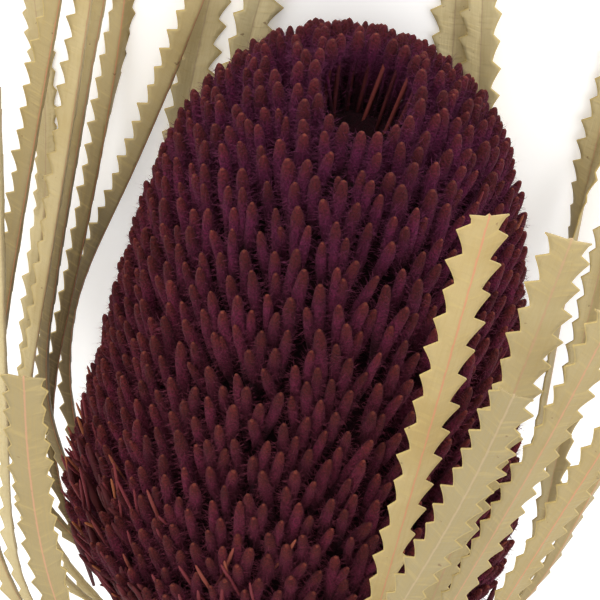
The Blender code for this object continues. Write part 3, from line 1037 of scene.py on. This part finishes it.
def strands():
    draw = random.Random(31)
    rows = []
    for index in range(ALL_STYLES):
        heights, depths, tones = LOW_STYLE if index < LOW_STYLES else HIGH_STYLE
        on_left = index < LEFT_STYLES
        near_side = (SPENT_SIDE, LEFT_STRAY)
        azimuth = draw.gauss(*near_side) if on_left else draw.uniform(-math.pi, math.pi)
        height = draw.uniform(*heights) * MM
        lean = lean_at(height / HEAD_LENGTH, draw.gauss(0, STYLE_LEAN_STRAY))
        tip, axis = tip_and_axis(height, azimuth, lean, draw.uniform(*depths) * MM)
        axis += outward(azimuth + math.pi / 2) * draw.gauss(0, STYLE_SIDE_STRAY)
        tone = draw.uniform(*tones)
        size = size_at(height - SHORT_STYLES_BELOW) * draw.uniform(*STYLE_SIZES)
        rows.append(lying(tip, axis, size, tone, draw.randrange(2)))
    set_out("dry_styles", rows, thin_shapes("style", STRAND, (3.0, -4.5)), DRY_STRAND, 37)


def crown_stalks():
    draw = random.Random(41)
    rows = []
    for index, (way, tip, axis) in enumerate(rim_flowers()):
        axis = axis + Vector((0.03 + 0.12 * way.x + draw.gauss(0, 0.02), 0, 0))
        tone = PALE_TONE if index in PALE_STALKS else draw.uniform(*DARK_TONES)
        if way.y > STALKS_BEHIND:
            rows.append(lying(tip - axis * STALK_SUNK, axis, 1.0, tone, draw.randrange(2)))
    set_out("crown_stalks", rows, thin_shapes("stalk", STALK, (0.6, 1.6)), DRY_STRAND, 43)


spent_flowers()
strands()
crown_stalks()

# %% [markdown]
# ## Wool
#
# Close up, every bud stands in a haze of short hairs. They can't be a particle system here,
# so a second tree scatters points on the buds' flanks, and puts one slim closed splinter of
# four triangles at each. It grows in four pieces, each with its own seed, to keep each one
# light. Only the part of a bud that shows gets wool, and the crown gets more of it.

# %% Grow the wool
DENSER_FROM = 62 * MM
DENSER_TO = 92 * MM
WOOL_PIECES = 4


def build_wool():
    inputs = [
        ("Buds", "Geometry", None),
        ("Density", "Float", 410000.0),
        ("Crown Density", "Float", 330000.0),
        ("From Depth", "Float", 0.07),
        ("To Depth", "Float", 0.48),
        ("Least Length", "Float", 0.8 * MM),
        ("Most Length", "Float", 2.5 * MM),
        ("Thickness", "Float", 0.045 * MM),
        ("Untidy", "Float", 0.8),
        ("Upwards", "Float", 0.3),
        ("Table Gap", "Float", 0.0001),
        ("Seed", "Int", 1),
        ("Material", "Material", None),
    ]
    tree, given, made = new_tree("wool_on_buds", "GeometryNodeTree", inputs, [("Mesh", "Geometry")])
    depth = named(tree, "depth")
    below = sum_of(tree, "GREATER_THAN", depth, given["From Depth"])
    shown = sum_of(tree, "LESS_THAN", depth, given["To Depth"])
    wanted = times(tree, below, shown)
    place = add(tree, "GeometryNodeInputPosition").outputs[0]
    crown = step(tree, part_of(tree, place, 1), DENSER_FROM, DENSER_TO)
    density = times(tree, crown, given["Crown Density"])
    density = plus(tree, density, given["Density"])
    inputs = {"Mesh": given["Buds"], "Selection": wanted, "Density": density, "Seed": given["Seed"]}
    scatter = add(tree, "GeometryNodeDistributePointsOnFaces", inputs)
    other_seed = plus(tree, given["Seed"], 5.0)
    inputs = {0: (-1, -1, -1), 1: (1, 1, 1), "Seed": other_seed}
    stray = add(tree, "FunctionNodeRandomValue", inputs, data_type="FLOAT_VECTOR").outputs[0]
    stray = vector_sum(tree, "SCALE", stray, given["Untidy"])
    way = vector_sum(tree, "ADD", scatter.outputs["Normal"], stray)
    upwards = vector_sum(tree, "SCALE", named(tree, "axis", "FLOAT_VECTOR"), given["Upwards"])
    way = vector_sum(tree, "ADD", way, upwards)
    facing = turned_to(tree, way)
    length = chance_of(tree, given["Least Length"], given["Most Length"], given["Seed"])
    inputs = {0: given["Thickness"], 1: given["Thickness"], 2: length}
    scale = add(tree, "ShaderNodeCombineXYZ", inputs).outputs[0]
    inputs = {
        "Vertices": 3, "Side Segments": 1, "Radius Top": 0.0, "Radius Bottom": 1.0, "Depth": 1.0
    }
    splinter = add(tree, "GeometryNodeMeshCone", inputs, fill_type="NGON").outputs[0]
    points = scatter.outputs["Points"]
    inputs = {"Points": points, "Instance": splinter, "Rotation": facing, "Scale": scale}
    placed = add(tree, "GeometryNodeInstanceOnPoints", inputs).outputs[0]
    real = add(tree, "GeometryNodeRealizeInstances", {"Geometry": placed}).outputs[0]
    finished(tree, above_table(tree, real, given["Table Gap"]), given["Material"], made["Mesh"])
    return tree


wool_on_buds = build_wool()


def wool(seed):
    name = f"wool_{seed}"
    piece = grow(name, fresh.data, wool_on_buds, {"Seed": seed, "Material": WOOL})
    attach(piece, "root")
    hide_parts("flower_head")
    print(f"{name}: {faces_of(piece)} triangles")


for number in range(1, WOOL_PIECES + 1):
    wool(number)

# %% [markdown]
# ## The finish of the leaves
#
# The leaves are dry and pale: straw on the front, olive on the left ones in shade, which is partly
# their own colour and partly painted shade, with a pink-orange midrib, a yellower rim along the
# teeth, faint side veins and brown specks. The blade carries `edge` (0 at the rib, 1 at the
# margin) and `along` in millimetres, so veins follow the leaf however it bends. `tone` takes a
# leaf towards that olive, `warm` towards straw and a pink rib, and `shade` darkens its lower half
# with painted shade, as it is between its neighbours.

# %% Leaf and bark finishes
LEAF_PALE = (0.60, 0.51, 0.29, 1)
LEAF_STRAW = (0.40, 0.29, 0.11, 1)
LEAF_OLIVE_SHADE = (0.26, 0.20, 0.085, 1)
LEAF_SHADE = (0.10, 0.065, 0.022, 1)
LEAF_RIM = (0.55, 0.41, 0.14, 1)
LEAF_RIB = (0.56, 0.22, 0.12, 1)
LEAF_PALE_RIB = (0.42, 0.31, 0.18, 1)
LEAF_SPECK = (0.16, 0.085, 0.035, 1)
BARK_DARK = (0.13, 0.075, 0.038, 1)
BARK_PALE = (0.24, 0.15, 0.075, 1)
BARK_FURROW = (0.07, 0.04, 0.02, 1)
BARK_SPECK = (0.34, 0.26, 0.16, 1)
WOOD_PALE = (0.56, 0.40, 0.22, 1)
WOOD_DARK = (0.40, 0.26, 0.13, 1)
STEM_PITH = (0.30, 0.16, 0.08, 1)
CUT_BARK = (0.20, 0.11, 0.055, 1)
WOOD_RINGS = 38.0


def fibre(tree, vector, **values):
    """The shared fibre group with its own values."""
    group = add(tree, "ShaderNodeGroup", {"Vector": vector}, node_tree=plant_fibre)
    for name, value in values.items():
        group.inputs[name.replace("_", " ")].default_value = value
    return group.outputs


def leaf_finish():
    material, tree, shader = new_material("leaf_blade")
    edge = attribute(tree, "edge")
    along = attribute(tree, "along")
    across = attribute(tree, "across")
    tone = attribute(tree, "tone")
    warm = attribute(tree, "warm")
    lengthways = add(tree, "ShaderNodeCombineXYZ", {0: across, 1: along, 2: tone}).outputs[0]
    strands = fibre(tree, lengthways, Grain=2.2, Speck_Size=600.0, Speck_Amount=0.45)
    clouds = times(tree, strands["Clouds"], 0.35)
    straw = plus(tree, clouds, times(tree, warm, 0.9), clamp=True)
    colour = blend(tree, straw, LEAF_PALE, LEAF_STRAW)
    # Partly painted shade: `tone` takes the leaf towards a shaded olive.
    colour = blend(tree, tone, colour, LEAF_OLIVE_SHADE)
    colour = blend(tree, attribute(tree, "shade"), colour, LEAF_SHADE)
    slant = minus(tree, along, times(tree, edge, 1.2))
    inputs = {0: times(tree, across, 0.14), 1: slant, 2: times(tree, tone, 9.0)}
    crossways = add(tree, "ShaderNodeCombineXYZ", inputs).outputs[0]
    wrinkles = noise(tree, crossways, 1.1, 3.0)
    veins = step(tree, wrinkles, 0.52, 0.72)
    colour = blend(tree, times(tree, veins, 0.22), colour, LEAF_RIM)
    grain = times(tree, step(tree, strands["Grain"], 0.45, 0.75), 0.25)
    colour = blend(tree, grain, colour, LEAF_STRAW)
    colour = blend(tree, step(tree, edge, 0.90, 0.99, 0.0, 0.7), colour, LEAF_RIM)
    pink = step(tree, warm, 0.1, 0.7)
    rib_colour = blend(tree, pink, LEAF_PALE_RIB, LEAF_RIB)
    colour = blend(tree, step(tree, edge, 0.07, 0.02, 0.0, 0.75), colour, rib_colour)
    colour = blend(tree, times(tree, strands["Specks"], 0.7), colour, LEAF_SPECK)
    dress(tree, shader, colour, uneven(tree, strands["Grain"], 0.5, 0.7))
    relief = plus(tree, wrinkles, times(tree, strands["Grain"], 0.5))
    bump(tree, shader, relief, 0.18 * MM)
    return material


def bark_finish():
    material, tree, shader = new_material("stem_bark")
    along = attribute(tree, "along")
    round_it = attribute(tree, "across")
    cut = attribute(tree, "cut")
    ring = attribute(tree, "ring")
    lengthways = add(tree, "ShaderNodeCombineXYZ", {0: round_it, 1: along}).outputs[0]
    strands = fibre(tree, lengthways, Grain=1.4, Speck_Size=300.0, Speck_Amount=0.9)
    colour = blend(tree, strands["Clouds"], BARK_DARK, BARK_PALE)
    colour = blend(tree, step(tree, strands["Grain"], 0.4, 0.7, 0.0, 0.6), colour, BARK_FURROW)
    colour = blend(tree, strands["Specks"], colour, BARK_SPECK)
    rings = step(tree, sum_of(tree, "SINE", times(tree, ring, WOOD_RINGS)), -0.2, 1.0)
    wood = blend(tree, rings, WOOD_PALE, WOOD_DARK)
    wood = blend(tree, step(tree, ring, 0.16, 0.1), wood, STEM_PITH)
    wood = blend(tree, step(tree, ring, 0.84, 0.9), wood, CUT_BARK)
    colour = blend(tree, cut, colour, wood)
    dress(tree, shader, colour, uneven(tree, strands["Grain"], 0.7, 0.92))
    bump(tree, shader, strands["Grain"], 0.5 * MM)
    return material


LEAF_BLADE = leaf_finish()
STEM_BARK = bark_finish()
print("Finishes:", LEAF_BLADE.name, STEM_BARK.name)

# %% [markdown]
# ## Where each leaf goes
#
# Every leaf leaves the stem nearly straight out, bends up round the head and runs beside it,
# swept a little to one side, some of them lying on the table. The rows below say so for each
# leaf, in degrees and millimetres. Most numbers in their first seven columns were found by a
# search against the photograph and not by a rule. From a row follows a path of points, each
# with the directions of the blade's width and of its outer face.
#
# `azimuth` and `root` say where a leaf grows, `start_lean` and `end_lean` are its angles from
# the stem's direction at the root and past the bend, and `sweep` is how far round its tip
# moves. `twist` turns the blade on its rib, `fold` bends its halves towards the head, or away
# from it below zero, and `layer` lifts it where another leaf lies under it.

# %% The leaves' paths
LEAF_REST = 0.4 * MM
LEAF_LAYER = 1.44 * MM
WIDTH_AT = ((0, 0.25), (0.14, 0.27), (0.3, 0.46), (0.54, 0.70), (0.72, 0.88), (0.86, 1.0), (1, 0.95))
ROOT_CLEARANCE = 0.5 * MM
PATH_STEPS = 160
TABLE_BLEND = 3 * MM
# A leaf lower than this lies flat, and one above it is fully twisted at this share of it
FLAT_BELOW = 8 * MM
TWISTED_AT = 0.45


class Leaf(NamedTuple):
    """One leaf, in degrees and millimetres, as the text above this cell says."""

    azimuth: float
    root: float
    length: float
    start_lean: float
    end_lean: float
    bend: float
    sweep: float
    twist: float
    half_width: float
    layer: float
    fold: float


LEAF_ROWS = (
    # In front, to the right
    (19, -31, 183, 84, 8, 75, 1, 0, 5.0, 0, 12),
    (28, -27, 176, 84, 10, 74, 3, -32, 4.8, 0, 12),
    (11, -36, 169, 83, 18, 69, 11, -30, 4.5, 0, 15),
    (23, -33, 182, 85, 16, 73, 8, -28, 3.7, 0, 12),
    (37, -44, 175, 72, 18, 81, 0, -28, 3.6, 0, 14),
    # On the right
    (94, -36, 150, 80, 12, 81, -3, -60, 4.3, 0, 30),
    (101, -42, 154, 85, 1, 87, 8, 75, 4.3, 0, 30),
    (112, -38, 179, 76, 1, 94, 10, -40, 4.4, 0, 30),
    # On the left
    (-26, -32, 126, 75, 7, 95, -22, 44, 4.5, 0, 10),
    (-48, -38, 167, 71, 12, 96, -24, -60, 3.9, 0, -38),
    (-69, -36, 171, 85, 6, 79, -20, -46, 3.8, 0, -42),
    (-89, -30, 179, 85, -3, 87, -9, -37, 3.8, 0, -42),
    (-103, -40, 184, 79, 10, 95, -26, -6, 3.9, 0, -42),
    (-103, -26, 183, 81, -5, 104, 10, -43, 3.9, 0, -42),
    # Behind, to the left
    (-114, -28, 178, 79, -5, 97, 7, -28, 3.8, 0, -42),
    (-107, -38, 179, 75, -2, 96, -16, -12, 3.8, 0, -42),
    (-121, -32, 183, 78, -17, 120, -10, -4, 4.4, 5, -40),
    # Behind, lying on the table
    (-147, -36, 180, 77, -8, 101, 7, 0, 4.8, 0, 13),
    (-160, -33, 184, 75, -12, 100, 13, 0, 4.8, 1, 13),
    (137, -29, 182, 76, -12, 96, 2, 0, 4.8, 0, 13),
    (150, -26, 182, 80, -13, 100, 2, 0, 5.0, 0, 13),
)
LEAVES = [Leaf(*row) for row in LEAF_ROWS]


def on_table(point, level):
    """A point of the plant, moved up to the table's level where it would be under it."""
    world = plant @ point
    depth = world.z - level
    if depth < TABLE_BLEND:
        eased = max(0.0, depth + TABLE_BLEND)
        world.z = level + eased * eased / (4 * TABLE_BLEND)
    return world


def leaf_line(spec):
    """The leaf's centre line on the table, and the azimuth at each of its points."""
    one = spec.length * MM / PATH_STEPS
    start = stem_centre(spec.root * MM)
    reach = STEM_RADIUS + ROOT_CLEARANCE
    height = start.z
    points, azimuths = [], []
    for i in range(PATH_STEPS + 1):
        azimuth = math.radians(spec.azimuth + spec.sweep * smooth(i / PATH_STEPS * 1.1))
        point = outward(azimuth) * reach + Vector((start.x, start.y, height))
        points.append(on_table(point, LEAF_REST + LEAF_LAYER * spec.layer))
        azimuths.append(azimuth)
        bent = smooth(i * one / (spec.bend * MM))
        lean = math.radians(spec.start_lean + (spec.end_lean - spec.start_lean) * bent)
        reach += one * math.sin(lean)
        height += one * math.cos(lean)
    return points, azimuths


def leaf_path(name, spec):
    """The path as a mesh whose points carry `side`, `outer` and `half`, half the width."""
    points, azimuths = leaf_line(spec)
    turn = plant.to_3x3()
    sides, outers, halves = [], [], []
    for i, point in enumerate(points):
        ahead = points[min(i + 1, PATH_STEPS)] - points[max(i - 1, 0)]
        ahead.normalize()
        side = turn @ outward(azimuths[i] + math.pi / 2)
        flatness = 1 - smooth(point.z / FLAT_BELOW)
        side -= Vector((0, 0, side.z * flatness))
        side -= ahead * side.dot(ahead)
        side.normalize()
        angle = math.radians(spec.twist) * smooth(i / PATH_STEPS / TWISTED_AT) * (1 - flatness)
        side = Matrix.Rotation(angle, 3, ahead) @ side
        sides += side[:]
        outers += side.cross(ahead)[:]
        halves.append(spec.half_width * MM * table_value(WIDTH_AT, i / PATH_STEPS))
    mesh = bpy.data.meshes.new(name)
    mesh.from_pydata(points, [], [])
    mesh.attributes.new("side", "FLOAT_VECTOR", "POINT").data.foreach_set("vector", sides)
    mesh.attributes.new("outer", "FLOAT_VECTOR", "POINT").data.foreach_set("vector", outers)
    mesh.attributes.new("half", "FLOAT", "POINT").data.foreach_set("value", halves)
    return mesh


print("Leaves:", len(LEAVES), "paths of", PATH_STEPS, "steps")

# %% [markdown]
# ## The toothed blade
#
# A banksia leaf is a strip cut by saw teeth, each with a long slope towards the stem and a
# short one towards the tip. The tree takes a plain grid, gives every five rows one tooth,
# narrows the grid at the notches, folds it along the rib and lays it along the path, whose
# side and outer directions it reads by row. Solidify then gives it the thickness of a leaf.

# %% Build the blade tree
ROWS_PER_TOOTH = 5
COLUMNS = 9
PETIOLE_ROWS = 10
PETIOLE_SHARE = 0.14
EDGE_POWER = 1.25
TOOTH_POWER = 1.35
LEAST_TOOTH = 0.86
MOST_TOOTH = 1.06
LEFT_TEETH_FROM = 500.0
WAVES = 9.0


def sample_path(tree, path, name, kind, low, share):
    """A value of the path, between its points."""
    if name == "position":
        value = add(tree, "GeometryNodeInputPosition").outputs[0]
    else:
        value = named(tree, name, kind)
    reads = []
    for index in (low, plus(tree, low, 1.0)):
        inputs = {"Geometry": path, "Value": value, "Index": index}
        node = add(tree, "GeometryNodeSampleIndex", {}, data_type=kind, domain="POINT", clamp=True)
        for key, joined in inputs.items():
            tree.links.new(joined, node.inputs[key])
        reads.append(node.outputs["Value"])
    if kind == "FLOAT":
        return add(tree, "ShaderNodeMix", {0: share, 2: reads[0], 3: reads[1]}).outputs[0]
    mix = add(tree, "ShaderNodeMix", {0: share, 4: reads[0], 5: reads[1]}, data_type="VECTOR")
    return mix.outputs[1]


def build_blade():
    inputs = [
        ("Path", "Geometry", None),
        ("Rows", "Int", 200),
        ("Length", "Float", 180.0),
        ("Tooth Tip", "Float", 0.8),
        ("Notch Low", "Float", 0.62),
        ("Notch High", "Float", 0.55),
        ("Fold", "Float", 0.23),
        ("Rib Height", "Float", 0.12 * MM),
        ("Cup", "Float", 0.4 * MM),
        ("Wave", "Float", 0.9 * MM),
        ("Tip Point", "Float", 0.006),
        ("Left Shift", "Float", 0.0),
        ("Tone", "Float", 0.0),
        ("Warm", "Float", 0.3),
        ("Shade", "Float", 0.0),
        ("Table Gap", "Float", 0.0003),
        ("Seed", "Int", 1),
        ("Material", "Material", None),
    ]
    tree, given, made = new_tree("toothed_blade", "GeometryNodeTree", inputs, [("Mesh", "Geometry")])
    inputs = {"Vertices X": given["Rows"], "Vertices Y": COLUMNS}
    grid = add(tree, "GeometryNodeMeshGrid", inputs).outputs[0]
    index = add(tree, "GeometryNodeInputIndex").outputs[0]
    row = sum_of(tree, "FLOOR", over(tree, plus(tree, index, 0.5), float(COLUMNS)))
    column = minus(tree, index, times(tree, row, float(COLUMNS)))
    middle = (COLUMNS - 1) / 2
    signed = over(tree, minus(tree, column, middle), middle)
    edge = sum_of(tree, "POWER", sum_of(tree, "ABSOLUTE", signed), EDGE_POWER)
    hand = sum_of(tree, "SIGN", signed)
    # Rows to a share of the length: first the stalk, then the teeth
    stalk = over(tree, row, float(PETIOLE_ROWS), clamp=True)
    tooth_row = sum_of(tree, "MAXIMUM", minus(tree, row, float(PETIOLE_ROWS)), 0.0)
    last = minus(tree, given["Rows"], float(PETIOLE_ROWS + 1))
    toothed = over(tree, tooth_row, last)
    stalk = times(tree, stalk, PETIOLE_SHARE)
    share = plus(tree, stalk, times(tree, toothed, 1 - PETIOLE_SHARE))
    # The saw
    is_left = sum_of(tree, "LESS_THAN", signed, 0.0)
    shifted = plus(tree, tooth_row, times(tree, is_left, given["Left Shift"]))
    tooth = over(tree, shifted, float(ROWS_PER_TOOTH))
    phase = sum_of(tree, "FRACT", plus(tree, tooth, 0.0001))
    long_slope = over(tree, phase, given["Tooth Tip"])
    rest = minus(tree, 1.0, given["Tooth Tip"])
    short_slope = over(tree, minus(tree, 1.0, phase), rest)
    rise = sum_of(tree, "POWER", sum_of(tree, "MINIMUM", long_slope, short_slope), TOOTH_POWER)
    which = plus(tree, sum_of(tree, "FLOOR", tooth), times(tree, is_left, LEFT_TEETH_FROM))
    luck = chance_of(tree, LEAST_TOOTH, MOST_TOOTH, given["Seed"], ID=which)
    fall = minus(tree, given["Notch Low"], given["Notch High"])
    notch = minus(tree, given["Notch Low"], times(tree, fall, toothed))
    reach = minus(tree, luck, notch)
    width = plus(tree, notch, times(tree, reach, rise))
    begins = step(tree, toothed, 0.0, 0.07)
    width = add(tree, "ShaderNodeMix", {0: begins, 2: 1.0, 3: width}).outputs[0]
    # The path at this row, with a small point at the end of the rib
    is_last = sum_of(tree, "GREATER_THAN", toothed, 0.9999)
    point = minus(tree, 1.0, times(tree, edge, 6.0), clamp=True)
    point = times(tree, minus(tree, point, 0.6), is_last)
    share = plus(tree, share, times(tree, point, given["Tip Point"]))
    at = times(tree, share, float(PATH_STEPS))
    low = sum_of(tree, "MINIMUM", sum_of(tree, "FLOOR", at), float(PATH_STEPS - 1))
    between = minus(tree, at, low)
    path = given["Path"]
    centre = sample_path(tree, path, "position", "FLOAT_VECTOR", low, between)
    side = sample_path(tree, path, "side", "FLOAT_VECTOR", low, between)
    outer = sample_path(tree, path, "outer", "FLOAT_VECTOR", low, between)
    half = sample_path(tree, path, "half", "FLOAT", low, between)
    out = times(tree, times(tree, half, width), edge)
    # Fold, rib, cupped lobes and a slow wave
    folded = times(tree, given["Fold"], step(tree, share, 0.1, 0.35))
    across = times(tree, times(tree, out, hand), sum_of(tree, "COSINE", folded))
    lift = times(tree, out, sum_of(tree, "SINE", times(tree, folded, -1.0)))
    rib = minus(tree, 1.0, times(tree, edge, 8.0), clamp=True)
    lift = plus(tree, lift, times(tree, rib, given["Rib Height"]))
    lobe = times(tree, times(tree, edge, edge), rise)
    lift = plus(tree, lift, times(tree, lobe, given["Cup"]))
    place = plus(tree, times(tree, toothed, WAVES), given["Seed"])
    inputs = {"W": place, "Scale": 1.0, "Detail": 1.0}
    slow = add(tree, "ShaderNodeTexNoise", inputs, noise_dimensions="1D").outputs["Fac"]
    sway = times(tree, minus(tree, slow, 0.5), edge)
    sway = times(tree, sway, given["Wave"])
    lift = plus(tree, lift, times(tree, sway, hand))
    place = vector_sum(tree, "ADD", centre, vector_sum(tree, "SCALE", side, across))
    place = vector_sum(tree, "ADD", place, vector_sum(tree, "SCALE", outer, lift))
    shape = add(tree, "GeometryNodeSetPosition", {"Geometry": grid, "Position": place}).outputs[0]
    stored = {
        "edge": edge,
        "along": times(tree, share, given["Length"]),
        "across": over(tree, across, MM),
        "tone": given["Tone"],
        "warm": given["Warm"],
        "shade": times(tree, step(tree, share, 0.9, 0.5), given["Shade"]),
    }
    for name, value in stored.items():
        inputs = {"Geometry": shape, "Name": name, "Value": value}
        shape = add(tree, "GeometryNodeStoreNamedAttribute", inputs, data_type="FLOAT").outputs[0]
    real = add(tree, "GeometryNodeRealizeInstances", {"Geometry": shape}).outputs[0]
    finished(tree, above_table(tree, real, given["Table Gap"]), given["Material"], made["Mesh"])
    return tree


toothed_blade = build_blade()
print("Blade tree:", len(toothed_blade.nodes), "nodes")

# %% [markdown]
# ## Growing the leaves
#
# Each leaf has its own seed, so no two saws are alike, and its own colours, tooth pitch and
# notch depth. The right leaves run from warm straw to olive, the left ones are mostly paler,
# and those close behind the head are shaded.

# %% Grow the leaves
LEAF_THICKNESS = 0.35 * MM
# Shares of the width that notches of no depth would leave, near the stem and near the tip
NOTCH_LOW = 0.96
NOTCH_HIGH = 0.92
# (tone, warm, shade of the lower half, tooth pitch in mm, depth of the notches) by leaf
LEAF_LOOKS = (
    (0.05, 0.85, 0.0, 6.1, 0.42),
    (0.44, 0.30, 0.0, 5.6, 0.38),
    (0.86, 0.0, 0.0, 5.2, 0.36),
    (0.58, 0.45, 0.2, 5.0, 0.36),
    (0.50, 0.65, 0.1, 5.2, 0.36),
    (0.32, 0.60, 0.3, 5.2, 0.36),
    (0.34, 0.35, 0.3, 5.2, 0.36),
    (0.46, 0.40, 0.4, 5.2, 0.36),
    (0.78, 0.45, 0.15, 4.0, 0.22),
    (0.18, 0.40, 0.0, 4.8, 0.28),
    (0.0, 0.0, 0.0, 4.6, 0.30),
    (0.0, 0.40, 0.0, 4.8, 0.30),
    (0.0, 0.25, 0.1, 4.8, 0.28),
    (0.55, 0.60, 0.5, 4.8, 0.28),
    (0.30, 0.50, 0.7, 4.8, 0.28),
    (0.50, 0.60, 1.0, 4.8, 0.26),
    (0.14, 0.60, 0.9, 4.8, 0.28),
    (0.0, 0.1, 0.2, 6.0, 0.36),
    (0.0, 0.0, 0.2, 6.0, 0.36),
    (0.0, 0.1, 0.2, 6.0, 0.36),
    (0.0, 0.0, 0.2, 6.0, 0.36),
)


def leaf(number, spec, looks):
    name = f"leaf_blade_{number:02d}"
    draw = random.Random(100 + number)
    tone, warm, shade, pitch, depth = looks
    teeth = round(spec.length * (1 - PETIOLE_SHARE) / pitch)
    values = {
        "Rows": PETIOLE_ROWS + ROWS_PER_TOOTH * teeth - 1,
        "Length": float(spec.length),
        "Left Shift": float(draw.randrange(ROWS_PER_TOOTH)),
        "Tone": tone,
        "Warm": warm,
        "Shade": shade,
        "Notch Low": NOTCH_LOW - depth,
        "Notch High": NOTCH_HIGH - depth,
        "Fold": math.radians(spec.fold),
        "Seed": number,
        "Material": LEAF_BLADE,
    }
    solid = ("SOLIDIFY", {"thickness": LEAF_THICKNESS, "offset": 0.0})
    piece = grow(name, leaf_path(name + "_path", spec), toothed_blade, values, [solid])
    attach(piece, "root")
    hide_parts(f"leaf_{number:02d}")
    return faces_of(piece)


leaf_faces = [leaf(n, spec, looks) for n, (spec, looks) in enumerate(zip(LEAVES, LEAF_LOOKS), 1)]
print("Leaves:", len(leaf_faces), "with", sum(leaf_faces), "triangles")

# %% [markdown]
# ## The stem
#
# The stem is a bowed rod of rough bark with a swelling where each leaf joins it, and a clean
# cut at the end that shows bark, wood rings and pith. It is one spun mesh, because the
# swellings belong to the bark, and the cut end needs its own rings of faces to be coloured.

# %% Make the stem
STEM_SIDES = 40
STEM_RINGS = 110
SWELLING = 1.35 * MM
SWELLING_REACH = 3.2 * MM
JOINT_BELOW = 0.6 * MM
BARK_DEPTH = 0.15 * MM
BARK_ROUGH = 0.07
STEM_IN_HEAD = 1.2 * MM
BEVEL = 0.4 * MM
BEVEL_END = 0.05 * MM
BEVEL_SCALE = 0.95
# The stem's end, from its bevelled edge in to the middle, in shares of its radius
CUT_RINGS = (0.93, 0.86, 0.84, 0.6, 0.35, 0.15, 0.1, 0.02)


def bark_radius(height, azimuth, draw):
    """The bark's radius with its leaf joints and its roughness."""
    radius = stem_radius(height) - BARK_DEPTH
    joint = 0.0
    for spec in LEAVES:
        root = spec.root * MM - JOINT_BELOW
        away = way_round(azimuth, math.radians(spec.azimuth))
        apart = math.hypot(height - root, away * radius)
        joint = max(joint, smooth(1 - apart / SWELLING_REACH))
    return radius + SWELLING * joint + draw.uniform(-BARK_ROUGH, BARK_ROUGH) * MM


def stem():
    draw = random.Random(53)
    corners = []
    stored = {"along": [], "across": [], "cut": [], "ring": []}

    def ring_of(height, scale, cut):
        for k in range(STEM_SIDES):
            azimuth = 2 * math.pi * k / STEM_SIDES
            radius = bark_radius(height, azimuth, draw) * scale
            corners.append(plant @ (stem_centre(height) + outward(azimuth) * radius))
            stored["along"].append(height / MM)
            stored["across"].append(radius * math.sin(azimuth) / MM)
            stored["cut"].append(cut)
            stored["ring"].append(scale)

    top = STEM_TOP + STEM_IN_HEAD
    bottom = STEM_TOP - STEM_LENGTH
    for i in range(STEM_RINGS + 1):
        ring_of(top + (bottom + BEVEL - top) * i / STEM_RINGS, 1.0, 0.0)
    ring_of(bottom + BEVEL_END, BEVEL_SCALE, 0.0)
    for scale in CUT_RINGS:
        ring_of(bottom, scale, 1.0)
    piece = closed_tube("stem_with_bark", corners, STEM_SIDES, STEM_BARK)
    for name, values in stored.items():
        piece.data.attributes.new(name, "FLOAT", "POINT").data.foreach_set("value", values)
    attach(piece, "root")
    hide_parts("stem")
    print("stem_with_bark:", faces_of(piece), "triangles")


stem()
